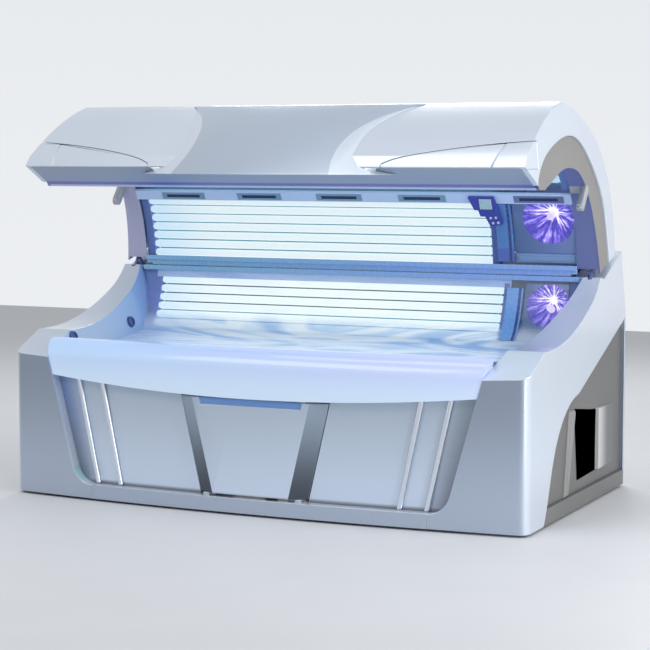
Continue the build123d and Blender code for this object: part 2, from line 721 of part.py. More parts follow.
strip = band(bench_line, holder_near, holder_far, bench_from, wall_start - BENCH_HOLDER_SHORT)
wall_strip = band(bench_line, holder_near, holder_far, wall_start + WALL_HOLDER_FROM, bench_to)
holders = [along_x(strip, BENCH_LAMP_HALF, BENCH_LAMP_HALF + HOLDER_THICK),
           along_x(strip, -BENCH_LAMP_HALF - HOLDER_THICK, -BENCH_LAMP_HALF),
           along_x(wall_strip, WALL_LAMP_LEFT - HOLDER_THICK, WALL_LAMP_LEFT) & gap_left,
           along_x(wall_strip, WALL_LAMP_RIGHT, WALL_LAMP_RIGHT + HOLDER_THICK)]
save("base_lamp_holders", *[solids_of(holder)[0] for holder in holders])
reflector_band = band(bench_line, behind, behind - REFLECTOR_SHEET, bench_from, bench_to)
reflector = along_x(reflector_band, WALL_LAMP_LEFT - HOLDER_THICK, TANNER_LEFT - SHELL) & gap_left
save("base_reflector", solids_of(reflector)[0])


# Rear wall of the base: pillar, rail, shoulder tanner
def dish(plane, radius):
    """A round reflector bowl, its mouth on the plane and its back along -z."""
    floor = radius * DISH_FLOOR
    outer = Pos(0, 0, -DISH_DEPTH) * Cone(floor, radius, DISH_DEPTH, align=UP)
    hollow = Cone(floor - DISH_WALL, radius - DISH_WALL, DISH_DEPTH, align=UP)
    inner = Pos(0, 0, DISH_WALL - DISH_DEPTH) * hollow
    return plane * (outer - inner)


def bulb(plane):
    """A short discharge lamp standing on the bowl's floor."""
    seat = DISH_WALL - DISH_DEPTH
    body = Pos(0, 0, seat) * Cylinder(BULB_R, BULB_LENGTH, align=UP)
    return plane * fillet(body.edges().sort_by(Axis.Z)[-1], BULB_ROUND)


def wall_plane(line, share, x, depth):
    """On a curve's side, with z pointing into the tunnel."""
    y, z = curve_at(line, share, depth)
    tangent = line.tangent_at(share)
    up = tangent if tangent.Z > 0 else -tangent
    return Plane(origin=(x, y, z), x_dir=(1, 0, 0), z_dir=Vector(1, 0, 0).cross(up))


pillar_band = band(bench_line, PILLAR_PROUD, CLEAR, wall_start, WALL_TRIM_TO)
pillar = along_x(pillar_band, PILLAR_LEFT, PILLAR_LEFT + PILLAR_WIDTH)
rail_y = BENCH_LINE[-1][0] + CLEAR
rail = block(-RAIL_HALF, RAIL_HALF, rail_y, rail_y + RAIL_DEPTH, RAIL_FOOT, RAIL_TOP)
save("base_trim", pillar, rail)
shoulder_z = (WALL_FOOT_Z + RAIL_FOOT) / 2 + SHOULDER_LIFT
shoulder_share = share_at_z(bench_line, shoulder_z, *BENCH_WALL)
shoulder_x = (TANNER_LEFT + TANNER_RIGHT) / 2 + DISH_SHIFT / 2
glass_near = -BENCH_SHEET - CLEAR
glass_far = glass_near - SHEET
shoulder_plane = wall_plane(bench_line, shoulder_share, shoulder_x, glass_far - CLEAR)
shoulder_band = band(bench_line, glass_near, glass_far, wall_start, WALL_TRIM_TO)
save("shoulder_glass", solids_of(along_x(shoulder_band, TANNER_LEFT, TANNER_RIGHT) & gap_right)[0])
save("shoulder_reflector", dish(shoulder_plane, SHOULDER_DISH_R))
save("shoulder_lamp", bulb(shoulder_plane))

# Canopy sections
crown = Spline(*yz([CANOPY_RIDGE, *CANOPY_CROWN, CANOPY_HEEL]))
slope_low = Polyline(*yz([CANOPY_NOSE, CANOPY_CHIN, CANOPY_BROW]))
slope_high = ThreePointArc(*yz([CANOPY_BROW, CANOPY_SLOPE, CANOPY_RIDGE]))
arch = Spline(*yz(ARCH))
underside = Polyline(*yz([CANOPY_NOSE, LIP_FRONT, LIP_BACK, ARCH[0]]))
bottom = Polyline(*yz([CANOPY_HEEL, CANOPY_TOE, ARCH[-1]]))
section = make_face([slope_low, slope_high, crown, bottom, arch, underside])
plate_line = Spline(*yz(ARCH_PLATE_LINE))
plate_rest = Polyline(*yz([ARCH_PLATE_LINE[-1], (ARCH_PLATE_LINE[-1][0], 0), (ARCH_PLATE_LINE[0][0], 0),
                           ARCH_PLATE_LINE[0]]))
plate_zone = make_face([plate_line, plate_rest])


def end_wedge(inset):
    """The canopy's length between its leaning ends."""
    low, high = WING_PEAK[1], CANOPY_RIDGE[1] + SHELL
    half_low = HALF_LENGTH - inset
    half_high = half_low - END_LEAN * (high - low)
    face = polygon_xz([(-half_low, low), (half_low, low), (half_high, high), (-half_high, high)])
    return along_y(face, -BIG, BIG)


def insert_zone(grow):
    """The right nose window, as it is seen from the front, under its swept seam."""
    seam = [(x - grow, z + grow) for x, z in INSERT_SEAM]
    low = INSERT_FOOT - SHELL
    rest = Polyline(*xz([seam[-1], (seam[-1][0], low), (seam[0][0], low), seam[0]]))
    return make_face([Spline(*xz(seam)), rest])


inner_crown = beside(crown, -SHELL)
ridge_in, heel_in = inner_crown @ 0, inner_crown @ 1
wall_y, wall_z = SLOPE_WALL
nose_in = CANOPY_NOSE[0] + NOSE_WALL
chin_in, brow_in, slope_in = [(y + wall_y, z - wall_z) for y, z in (CANOPY_CHIN, CANOPY_BROW, CANOPY_SLOPE)]
inner_low = Polyline(*yz([(nose_in, WING_PEAK[1]), (nose_in, CANOPY_NOSE[1] + wall_z / 2), chin_in, brow_in]))
inner_high = ThreePointArc(*yz([brow_in, slope_in, (ridge_in.Y, ridge_in.Z)]))
inner_rest = Polyline(*yz([(heel_in.Y, heel_in.Z), (heel_in.Y, WING_PEAK[1]), (nose_in, WING_PEAK[1])]))
hollow = along_x(make_face([inner_low, inner_high, inner_crown, inner_rest]), -HALF_LENGTH, HALF_LENGTH)
hollow &= end_wedge(END_RING)
canopy_skin = (along_x(section, -HALF_LENGTH, HALF_LENGTH) & end_wedge(0)) - hollow
canopy_skin -= along_x(plate_zone, -HALF_LENGTH, HALF_LENGTH)
nose_zone = along_y(insert_zone(INSERT_GAP), -BIG, INSERT_BACK)
shell = canopy_skin - nose_zone - mirrored(nose_zone)
save("canopy_shell", solids_of(shell)[0])
insert = canopy_skin & along_y(insert_zone(0), -BIG, INSERT_BACK)
front_line = [CANOPY_NOSE, CANOPY_CHIN, CANOPY_BROW]
groove_out = [(y - SHELL, z + SHELL) for y, z in front_line]
groove_in = [(y + INSERT_GROOVE_DEPTH, z - INSERT_GROOVE_DEPTH) for y, z in front_line]
groove = along_x(polygon_yz(groove_out + groove_in[::-1]), 0, HALF_LENGTH)
insert -= groove & along_y(polygon_xz(INSERT_GROOVE), -BIG, BIG)
save("nose_insert_right", solids_of(insert)[0])
save("nose_insert_left", mirrored(solids_of(insert)[0]))

# Raised centre panel: a visor over the nose with sloping flanks, fading out at the ridge, and its apron
lip_fall = (LIP_FRONT[1] - CANOPY_NOSE[1]) / (LIP_FRONT[0] - CANOPY_NOSE[0])
visor_foot = VISOR_NOSE[1]
visor_back = CANOPY_NOSE[0] + (visor_foot - CANOPY_NOSE[1]) / lip_fall - 2 * CLEAR
visor_line = ThreePointArc(*yz([VISOR_NOSE, VISOR_RISE, CANOPY_RIDGE]))
visor_under = Polyline(*yz([CANOPY_NOSE, (visor_back, visor_foot), VISOR_NOSE]))
visor = along_x(make_face([visor_line, slope_high, slope_low, visor_under]), -HALF_LENGTH, HALF_LENGTH)
corner = Vector(VISOR_HALF, *VISOR_NOSE)
to_nose = Vector(VISOR_FLANK, *CANOPY_NOSE) - corner
to_slope = Vector(VISOR_FLANK, *CANOPY_SLOPE) - corner
flank = Plane(origin=corner, z_dir=to_nose.cross(to_slope)) * Box(BIG, BIG, BIG, align=UP)
visor -= flank
visor -= mirrored(flank)
apron = along_x(polygon_yz([CANOPY_NOSE, (CANOPY_NOSE[0], visor_foot), (visor_back, visor_foot)]),
                -HALF_LENGTH, HALF_LENGTH)
apron_left = [(-x, z) for x, z in APRON_END]
apron_rim = [Spline(*xz(APRON_END)), Line(*xz([APRON_END[-1], apron_left[-1]])),
             Spline(*xz(apron_left)), Line(*xz([APRON_END[0], apron_left[0]]))]
apron &= along_y(make_face(apron_rim), -BIG, BIG)
save("canopy_centre_panel", solids_of(solids_of(visor)[0] + apron)[0])

# Arch plates with the rims that line the tunnel's ends
plate_edge = beside(plate_line, -CLEAR)
edge_start, edge_end = plate_edge @ 0, plate_edge @ 1
plate_face = make_face([plate_edge, Polyline(edge_end, *yz([CANOPY_TOE, ARCH[-1]])), arch,
                        Polyline(*yz([ARCH[0], LIP_BACK, LIP_FRONT]), edge_start)])
arch_plate = along_x(plate_face, 0, HALF_LENGTH)
arch_plate &= end_wedge(ARCH_RECESS) - end_wedge(ARCH_RECESS + ARCH_PLATE)
rim_line = band(arch, RIM_STEP, RIM_STEP + FLANGE_SHEET, *ARCH_RIM)
rim = along_x(rim_line, FLANGE_INNER, HALF_LENGTH) & end_wedge(ARCH_RECESS + ARCH_PLATE)
tongue_x = HALF_LENGTH - END_LEAN * (TONGUE[0][1] - WING_PEAK[1]) - ARCH_RECESS
tongue = link(TONGUE, tongue_x - TONGUE_THICK, tongue_x, TONGUE_WIDTH)
cover_half = ARM_THICK + LUG_GAP / 2 + ARM_SLOT_SIDE / 2
cover_x = ARM_X - LUG_GAP / 2
hinge_cover = block(cover_x - cover_half, cover_x + cover_half, *HINGE_COVER)
arch_right = solids_of(arch_plate)[0] + rim + tongue + hinge_cover
save("arch_plate_right", solids_of(arch_right)[0])
save("arch_plate_left", mirrored(solids_of(arch_right)[0]))

# Lip under the nose
lip_y = nose_in + CLEAR
lip_z = CANOPY_NOSE[1] + lip_fall * (lip_y - CANOPY_NOSE[0])
lip_line = [(lip_y, lip_z), LIP_FRONT, LIP_BACK]
lip_top = [(y, z + LIP_SHEET) for y, z in lip_line]
lip = along_x(polygon_yz(lip_line + lip_top[::-1]), -HALF_LENGTH, HALF_LENGTH)
lip &= end_wedge(END_RING + CLEAR)
save("canopy_lip", solids_of(lip)[0])

# Canopy acrylic: the roof sheet and the rear wall sheet, with the vent strip between them
strip_low = share_at_z(arch, STRIP_FOOT_Z, *ARCH_FALL)
strip_high = share_at_z(arch, STRIP_TOP_Z, *ARCH_FALL)
sheet_near, sheet_far = SHEET_SEAT + CLEAR, SHEET_SEAT + CLEAR + SHEET
sheet_end = FLANGE_INNER + 2 * SHELL
roof_band = band(arch, sheet_near, sheet_far, ARCH_SHEET[0], strip_high - STRIP_GAP)
wall_band = band(arch, sheet_near, sheet_far, strip_low + STRIP_GAP, ARCH_SHEET[1])
roof = along_x(roof_band, -sheet_end, sheet_end)
wall = along_x(wall_band, -sheet_end, CANOPY_PILLAR_LEFT + SHELL)
save("canopy_acrylic", roof, wall)
save("face_glass", along_x(wall_band, CANOPY_PILLAR_LEFT + PILLAR_WIDTH, sheet_end))
strip_half = FLANGE_INNER - CLEAR
vent_strip = along_x(band(arch, -STRIP_PROUD, sheet_far, strip_high, strip_low), -strip_half, strip_half)
strip_share = (strip_high + strip_low) / 2
for x in STRIP_SLOTS:
    seat = wall_plane(arch, strip_share, x, 0)
    vent_strip -= seat * Box(STRIP_SLOT_LENGTH, STRIP_SLOT_HEIGHT, STRIP_SLOT_DEPTH)
save("vent_strip", solids_of(vent_strip)[0])

# Canopy lamps, holders and reflector
canopy_depth = sheet_far + lamp_offset
reflector_from, reflector_to = ARCH_REFLECTOR
roof_shares = lamp_shares(arch, ROOF_LAMPS_FROM, strip_high - ROOF_LAMPS_SHORT)
face_shares = lamp_shares(arch, strip_low + FACE_LAMPS_FROM, reflector_to)
roof_places = [curve_at(arch, share, canopy_depth) for share in roof_shares]
face_places = [curve_at(arch, share, canopy_depth) for share in face_shares]
roof_lamps = [lamp(y, z, CANOPY_LAMP_LEFT, -CANOPY_LAMP_LEFT) for y, z in roof_places]
wall_lamps = [lamp(y, z, CANOPY_LAMP_LEFT, CANOPY_LAMP_RIGHT) for y, z in face_places]
save("canopy_lamps", *roof_lamps, *wall_lamps)
canopy_behind = canopy_depth + LAMP_D / 2 + REFLECTOR_GAP
holder_near, holder_far = sheet_far + LAMP_STANDOFF, canopy_behind - CLEAR
roof_strip = band(arch, holder_near, holder_far, reflector_from, strip_high - ROOF_HOLDER_SHORT)
face_strip = band(arch, holder_near, holder_far, strip_low + STRIP_GAP, reflector_to)
save("canopy_lamp_holders",
     along_x(roof_strip, CLEAR - FLANGE_INNER, CANOPY_LAMP_LEFT),
     along_x(roof_strip, -CANOPY_LAMP_LEFT, FLANGE_INNER - CLEAR),
     along_x(face_strip, CLEAR - FLANGE_INNER, CANOPY_LAMP_LEFT),
     along_x(face_strip, CANOPY_LAMP_RIGHT, CANOPY_LAMP_RIGHT + HOLDER_THICK))
reflector_back = canopy_behind + REFLECTOR_SHEET
roof_sheet = band(arch, canopy_behind, reflector_back, reflector_from, strip_high)
wall_sheet = band(arch, canopy_behind, reflector_back, strip_high, reflector_to)
canopy_reflector = along_x(roof_sheet, -FLANGE_INNER, FLANGE_INNER)
canopy_reflector += along_x(wall_sheet, -FLANGE_INNER, CANOPY_PILLAR_LEFT)
save("canopy_reflector", solids_of(canopy_reflector)[0])

# Canopy rear wall: pillar, rail, face tanner, control panel
pillar_band = band(arch, -PILLAR_PROUD, SHEET_SEAT, strip_low + STRIP_GAP, PILLAR_TO)
canopy_pillar = along_x(pillar_band, CANOPY_PILLAR_LEFT, CANOPY_PILLAR_LEFT + PILLAR_WIDTH)
toe_y, toe_z = ARCH[-1]
rail_z = toe_z + CANOPY_RAIL_LIFT
canopy_rail = block(-strip_half, strip_half, toe_y - RAIL_DEPTH, toe_y, rail_z, rail_z + RAIL_TOP - RAIL_FOOT)
sill_front = rail_y + RAIL_DEPTH + 4 * CLEAR
sill_back = sill_front + SILL_DEPTH
sill_foot = RAIL_TOP + SILL_LIFT
sill_half = REAR_BAY - SILL_SHORT
sill = block(-sill_half, sill_half, sill_front, sill_back, sill_foot, rail_z + RAIL_DEPTH)
sill += block(-sill_half, sill_half, toe_y - TUCK, sill_back, rail_z, rail_z + RAIL_DEPTH)
sill += block(-strip_half, strip_half, sill_front, sill_back, sill_foot + SILL_END_LIFT, rail_z + RAIL_DEPTH)
save("canopy_trim", canopy_pillar, canopy_rail + sill)
face_share = share_at_z(arch, FACE_Z, *ARCH_FALL)
face_x = (CANOPY_PILLAR_LEFT + PILLAR_WIDTH + FLANGE_INNER) / 2 + DISH_SHIFT
face_plane = wall_plane(arch, face_share, face_x, sheet_far + CLEAR)
save("face_reflector", dish(face_plane, FACE_DISH_R))
save("face_lamp", bulb(face_plane))

control_share = share_at_z(arch, CONTROL_Z, *ARCH_FALL)
control_plane = wall_plane(arch, control_share, CONTROL_X, 0)
control_top = CONTROL_Z + CONTROL_OUTLINE[0][1] * control_plane.y_dir.Z
control_top_share = share_at_z(arch, control_top, *ARCH_FALL)
strip_edge = Vector(CONTROL_X, *curve_at(arch, control_top_share, -STRIP_PROUD))
control_back = control_plane.to_local_coords(strip_edge).Z + CLEAR
control_front = control_back + CONTROL_THICK
control_face = make_face(Polyline(*CONTROL_OUTLINE, close=True))
control = Pos(0, 0, control_back) * extrude(control_face, CONTROL_THICK)
control = fillet(control.edges().filter_by(Axis.Z), CONTROL_R)
control += Pos(*DISPLAY_SPOT, control_front) * Box(*DISPLAY, DISPLAY_PROUD, align=UP)
button_back = control_front + BUTTON_PROUD - BUTTON_LENGTH
for number, spot in enumerate(BUTTON_SPOTS, 1):
    control -= Pos(*spot, button_back - BUTTON_PROUD) * Cylinder(BUTTON_R + RUNNING, CONTROL_THICK, align=UP)
    button = Pos(*spot, button_back) * Cylinder(BUTTON_R, BUTTON_LENGTH, align=UP)
    save(f"panel_button_{number}", control_plane * fillet(button.edges().sort_by(Axis.Z)[-1], BUTTON_EDGE))
save("control_panel", control_plane * solids_of(control)[0])


# Hinge: base lugs with pins, canopy arms, gas springs
def lever_point(angle_deg):
    """Where the arm's lever tip stands when the canopy has closed by an angle."""
    angle = radians(LEVER_ANGLE + angle_deg)
    return (HINGE_Y + LEVER_R * cos(angle), HINGE_Z + LEVER_R * sin(angle))


hinge = (HINGE_Y, HINGE_Z)
lever = lever_point(0)
arm = link([lever, hinge, ARM_KNEE, TUBE_LOW], ARM_X, ARM_X + ARM_THICK, ARM_WIDTH)
arm -= rod_x(0, BIG, *hinge, HINGE_PIN_R + RUNNING)
arm += rod_x(ARM_X + ARM_THICK, SPRING_X + EYE_THICK / 2 + PIN_SPARE, *lever, ROD_R)
hanger = curve_at(arch, HANGER_SHARE, canopy_behind + REFLECTOR_SHEET + CLEAR + ARM_WIDTH / 2)
rib = link([TUBE_LOW, RIB_KNEE, TUBE_HIGH, hanger], RIB_X, RIB_X + ARM_THICK, ARM_WIDTH)
canopy_frame = arm + mirrored(arm) + rib + mirrored(rib)
canopy_frame += rod_x(-ARM_X, ARM_X, *TUBE_LOW, CANOPY_TUBE_R)
canopy_frame += rod_x(-RIB_X, RIB_X, *TUBE_HIGH, CANOPY_TUBE_R)
save("canopy_frame", canopy_frame)

post_y = BASE_DEPTH - POST_SETBACK
bracket_foot = (post_y, HINGE_Z - BRACKET_DROP)
lug = link([hinge, LUG_KNEE, bracket_foot], LUG_X, LUG_X + LUG_THICK, ARM_WIDTH)
lug += rod_x(LUG_X + LUG_THICK, ARM_X + ARM_THICK + PIN_SPARE, *hinge, HINGE_PIN_R)
spring_lug_x = SPRING_X + SPRING_R + PIN_SPARE
lug += link([SPRING_FOOT, bracket_foot], spring_lug_x, spring_lug_x + ARM_THICK, ARM_WIDTH)
lug += rod_x(SPRING_X - EYE_THICK / 2 - PIN_SPARE, spring_lug_x, *SPRING_FOOT, ROD_R)
lug += rod_x(POST_X + TUBE, spring_lug_x, *bracket_foot, ARM_WIDTH / 2)
save("hinge_brackets", lug, mirrored(lug))

spring_axis = Vector(0, lever[0] - SPRING_FOOT[0], lever[1] - SPRING_FOOT[1])
spring_length = spring_axis.length
spring_plane = Plane(origin=(SPRING_X, *SPRING_FOOT), x_dir=(1, 0, 0), z_dir=spring_axis)
cylinder_length = spring_length * CYLINDER_SHARE
cylinder = spring_plane * Pos(0, 0, EYE_R - 2 * TUCK) * Cylinder(SPRING_R, cylinder_length, align=UP)
cylinder += rod_x(SPRING_X - EYE_THICK / 2, SPRING_X + EYE_THICK / 2, *SPRING_FOOT, EYE_R)
cylinder -= rod_x(0, BIG, *SPRING_FOOT, ROD_R + RUNNING)
bore = spring_plane * Pos(0, 0, EYE_R + SHELL) * Cylinder(ROD_R + RUNNING, cylinder_length + SHELL, align=UP)
cylinder -= bore
rod_start = cylinder_length - ROD_INSIDE
rod_length = spring_length - rod_start - EYE_R + 2 * TUCK
rod = spring_plane * Pos(0, 0, rod_start) * Cylinder(ROD_R, rod_length, align=UP)
rod += rod_x(SPRING_X - EYE_THICK / 2, SPRING_X + EYE_THICK / 2, *lever, EYE_R)
rod -= rod_x(0, BIG, *lever, ROD_R + ROD_EYE_SLACK)
for piece, name in ((cylinder, "gas_cylinder"), (rod, "gas_rod")):
    save(f"{name}_right", piece)
    save(f"{name}_left", mirrored(piece))

# Frame, floor pan, feet, ballasts, back cover, inlet
pan_top = FOOT_HEIGHT + PAN_SHEET
pan_half = HALF_LENGTH - SKIRT_THICK - CLEAR
pan_front = WING_RETURN + CLEAR
pan = block(-pan_half, pan_half, pan_front, BACK_FACE - CLEAR, FOOT_HEIGHT, pan_top)
save("floor_pan", pan)
foot_x = pan_half - FOOT_INSET
foot_rows = (pan_front + FOOT_INSET_FRONT, BASE_DEPTH - FOOT_INSET_BACK)
feet = [Pos(x, y, FOOT_HEIGHT / 2) * Cylinder(FOOT_R, FOOT_HEIGHT)
        for x in (-foot_x, 0, foot_x) for y in foot_rows]
save("levelling_feet", *feet)
half_tube = TUBE / 2
strut_y = pan_front + FRAME_INSET
frame = block(-POST_X, POST_X, post_y - half_tube, post_y + half_tube, FRAME_TOP - TUBE, FRAME_TOP)
frame += block(-OPENING_FOOT, OPENING_FOOT + TUBE, strut_y, strut_y + TUBE, FRAME_TOP - TUBE, FRAME_TOP)
for x in (-OPENING_FOOT, -half_tube, OPENING_FOOT):
    frame += block(x, x + TUBE, strut_y, post_y + half_tube, pan_top, pan_top + TUBE)
    frame += block(x, x + TUBE, post_y - half_tube, post_y + half_tube, pan_top, FRAME_TOP)
    frame += block(x, x + TUBE, strut_y, strut_y + TUBE, pan_top, FRAME_TOP)
for side in (-1, 1):
    frame += block(side * POST_X, side * (POST_X + TUBE), post_y - half_tube, post_y + half_tube, pan_top,
                   bracket_foot[1] + half_tube)
save("base_frame", frame)
length, width, height = BALLAST
bay = OPENING_FOOT - half_tube
ballast = Pos(0, (strut_y + post_y) / 2, pan_top + height / 2) * Box(width, length, height)
ballast_row = [half_tube + (step + 0.5) * bay / BALLASTS_PER_BAY for step in range(BALLASTS_PER_BAY)]
save("ballasts", *[Pos(side * x, 0, 0) * ballast for x in ballast_row for side in (-1, 1)])
back_line = [(BACK_FACE, FOOT_HEIGHT), (BACK_FACE - SHELL, WING_HIP[1]), BACK_TOP]
back_near = [(y + BACK_SHEET, z) for y, z in back_line]
back = along_x(polygon_yz(back_line + back_near[::-1]), -REAR_BAY + CLEAR, REAR_BAY - CLEAR)
slot_length, slot_height = BACK_SLOT
for step in range(BACK_SLOTS):
    z = BACK_SLOT_FOOT + step * BACK_SLOT_PITCH
    for x in (-BACK_SLOT_X, BACK_SLOT_X):
        back -= block(x - slot_length / 2, x + slot_length / 2, BACK_FACE - THROUGH, BIG, z, z + slot_height)
inlet_seat = Pos(0, BACK_FACE, INLET_Z) * Rot(90, 0, 0)
back -= inlet_seat * Cylinder(INLET_R, THROUGH)
save("back_cover", solids_of(back)[0])
inlet = inlet_seat * Cylinder(INLET_R - CLEAR, INLET_LENGTH)
inlet += inlet_seat * Pos(0, 0, INLET_SETBACK) * Cylinder(INLET_R + SHELL, SHELL, align=UP)
inlet -= inlet_seat * Pos(0, 0, SHELL - INLET_LENGTH) * Cylinder(INLET_R - SHELL, INLET_LENGTH, align=UP)
save("power_inlet", inlet)


# Cooling fans behind the side vents
def make_fan():
    half = FAN_SIZE / 2
    housing = block(FAN_X, FAN_X + FAN_DEPTH, FAN_Y - half, FAN_Y + half, FAN_Z - half, FAN_Z + half)
    housing -= rod_x(FAN_X - TUCK, FAN_X + FAN_DEPTH + TUCK, FAN_Y, FAN_Z, FAN_R + FAN_TIP_GAP)
    hub = rod_x(FAN_X, FAN_X + SHELL, FAN_Y, FAN_Z, FAN_HUB_R)
    reach = FAN_R + 2 * FAN_TIP_GAP
    wide = SPOKE / 2
    spokes = block(FAN_X, FAN_X + SHELL, FAN_Y - reach, FAN_Y + reach, FAN_Z - wide, FAN_Z + wide)
    spokes += block(FAN_X, FAN_X + SHELL, FAN_Y - wide, FAN_Y + wide, FAN_Z - reach, FAN_Z + reach)
    housing += hub + spokes
    housing += block(FAN_X, FAN_X + FAN_DEPTH, FAN_Y - half, FAN_Y + half, pan_top, FAN_Z - half)
    housing -= rod_x(FAN_X - TUCK, FAN_X + SHELL + TUCK, FAN_Y, FAN_Z, FAN_SHAFT_R + RUNNING)
    start = FAN_X + SHELL + CLEAR
    end = FAN_X + FAN_DEPTH - FAN_END_GAP
    rotor = rod_x(start, end, FAN_Y, FAN_Z, FAN_HUB_R - HUB_STEP)
    rotor += rod_x(FAN_X, start, FAN_Y, FAN_Z, FAN_SHAFT_R)
    blade = Rot(0, 0, BLADE_PITCH) * Box(BLADE_THICK, BLADE_CHORD, FAN_R - FAN_HUB_R + 2 * HUB_STEP)
    blade = Pos(0, 0, (FAN_R + FAN_HUB_R) / 2 - HUB_STEP) * blade
    for step in range(FAN_BLADES):
        rotor += Pos((start + end) / 2, FAN_Y, FAN_Z) * Rot(360 * step / FAN_BLADES, 0, 0) * blade
    return housing, rotor


housing, rotor = make_fan()
save("fan_housings", housing, mirrored(housing))
save("fan_rotor_right", rotor)
save("fan_rotor_left", mirrored(rotor))
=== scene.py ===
# %% [markdown]
# # Dressing a clamshell tanning bed
# The CAD model already holds every part at its true size and place. This notebook loads it as a fixed
# frame and gives it its looks: a camera at the photograph's angle, soft studio light, procedural finishes,
# smooth skins over the CAD shells, and the small pieces that only matter to the eye.

# %% Load the frame
import json
from math import radians

import bpy
from mathutils import Matrix, Vector

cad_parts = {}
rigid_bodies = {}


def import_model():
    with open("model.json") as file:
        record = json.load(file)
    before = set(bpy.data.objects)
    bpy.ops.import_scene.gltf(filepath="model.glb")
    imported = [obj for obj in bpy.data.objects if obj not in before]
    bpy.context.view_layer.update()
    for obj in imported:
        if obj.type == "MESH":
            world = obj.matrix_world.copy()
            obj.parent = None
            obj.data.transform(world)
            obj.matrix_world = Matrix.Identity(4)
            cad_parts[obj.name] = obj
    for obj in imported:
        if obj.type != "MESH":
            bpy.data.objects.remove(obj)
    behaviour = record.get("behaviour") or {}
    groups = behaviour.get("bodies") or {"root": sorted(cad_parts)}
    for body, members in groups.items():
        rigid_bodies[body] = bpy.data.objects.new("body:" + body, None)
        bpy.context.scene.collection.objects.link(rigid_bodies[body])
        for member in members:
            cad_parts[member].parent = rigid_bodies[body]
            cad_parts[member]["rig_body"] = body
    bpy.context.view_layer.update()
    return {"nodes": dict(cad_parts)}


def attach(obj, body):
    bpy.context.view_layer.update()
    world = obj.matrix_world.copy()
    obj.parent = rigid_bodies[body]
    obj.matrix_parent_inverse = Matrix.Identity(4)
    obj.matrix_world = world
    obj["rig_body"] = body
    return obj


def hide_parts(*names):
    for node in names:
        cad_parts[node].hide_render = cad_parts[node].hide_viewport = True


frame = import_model()
nodes = frame["nodes"]
scene = bpy.context.scene
scene.view_settings.view_transform = "Standard"

# %% [markdown]
# ## Shader arithmetic
# A finish is a small network of nodes. Clicking it together works, and so does linking sockets by name,
# but both hide the formula. Here one class wraps an output socket and lets Python's own operators add the
# Math nodes, so that `0.3 + 0.1 * grain` reads as what it does.


# %% A socket that does sums
class Wire:
    """An output socket of a node tree, for use in ordinary expressions."""

    def __init__(self, tree, socket):
        self.tree = tree
        self.socket = socket

    def node(self, kind, settings, sockets, out=0):
        """A new node of this tree: its settings first, then the values or links of its sockets."""
        made = self.tree.nodes.new("ShaderNode" + kind)
        for name, value in settings.items():
            if name == "stops":
                ramp = made.color_ramp
                while len(ramp.elements) < len(value):
                    ramp.elements.new(0.5)
                for element, (place, colour) in zip(ramp.elements, value):
                    element.position = place
                    element.color = (*colour, 1)
            else:
                setattr(made, name, value)
        for name, value in sockets.items():
            plug = next(s for s in made.inputs if name in (s.identifier, s.name) and s.enabled)
            if isinstance(value, Wire):
                self.tree.links.new(value.socket, plug)
            elif plug.type == "RGBA" and len(value) == 3:
                plug.default_value = (*value, 1)
            else:
                plug.default_value = value
        return Wire(self.tree, made.outputs[out]) if made.outputs else None

    def sum(self, operation, first, second):
        """One Math node of two values."""
        return self.node("Math", {"operation": operation}, {"Value": first, "Value_001": second})

    def __add__(self, other):
        return self.sum("ADD", self, other)

    __radd__ = __add__

    def __sub__(self, other):
        return self.sum("SUBTRACT", self, other)

    def __rsub__(self, other):
        return self.sum("SUBTRACT", other, self)

    def __mul__(self, other):
        return self.sum("MULTIPLY", self, other)

    __rmul__ = __mul__

    def __truediv__(self, other):
        return self.sum("DIVIDE", self, other)

    def __abs__(self):
        return self.node("Math", {"operation": "ABSOLUTE"}, {"Value": self})

    def between(self, low, high):
        """0 below low, 1 above high, and a soft step between them."""
        settings = {"interpolation_type": "SMOOTHSTEP"}
        return self.node("MapRange", settings, {"Value": self, "From Min": low, "From Max": high})

    def band(self, rise, fall):
        """1 inside a band: a soft step up over the pair rise, and one down over the pair fall."""
        return self.between(*rise) - self.between(*fall)

    def blend(self, first, second):
        """One colour where this is 0, another where it is 1."""
        sockets = {"Factor_Float": self, "A_Color": first, "B_Color": second}
        return self.node("Mix", {"data_type": "RGBA"}, sockets, "Result")

    def noise(self, scale, detail=2.0):
        return self.node("TexNoise", {}, {"Vector": self, "Scale": scale, "Detail": detail})

    def stretch(self, scale):
        return self.node("Mapping", {}, {"Vector": self, "Scale": scale})

    def axis(self, name):
        return self.node("SeparateXYZ", {}, {"Vector": self}, name)

    def bump(self, strength, distance):
        return self.node("Bump", {}, {"Height": self, "Strength": strength, "Distance": distance})

    def graze(self):
        """0 where a face is seen square on, towards 1 where it is seen along."""
        return self.node("LayerWeight", {}, {"Blend": 0.35}, "Facing")


print("operators ready:", [name for name in vars(Wire) if name.startswith("__")])


# %% [markdown]
# Each finish starts from the object's own coordinates, in metres, because every piece sits at the origin
# with its place in its mesh. So a pattern has its real size and lies still when the part moves.

# %% Start and end of a finish
finishes = {}


def begin(name):
    """A new material, and the Wire of its object coordinates."""
    material = bpy.data.materials.new(name)
    material.use_nodes = True
    material.node_tree.nodes.clear()
    finishes[name] = material
    return Wire(material.node_tree, None).node("TexCoord", {}, {}, "Object")


def surface(place, **sockets):
    """A Principled shader with these sockets, spelled with underscores, as the material's surface."""
    named = {key.replace("_", " "): value for key, value in sockets.items()}
    shader = place.node("BsdfPrincipled", {}, named)
    place.node("OutputMaterial", {}, {"Surface": shader})
    print(list(finishes)[-1], "has", len(place.tree.nodes), "nodes")


# %% [markdown]
# ## Camera
# The place, turn and lens were found by fitting the bed's long edges to the photograph. It looks at the
# bed from the front and the right, from about eye height.

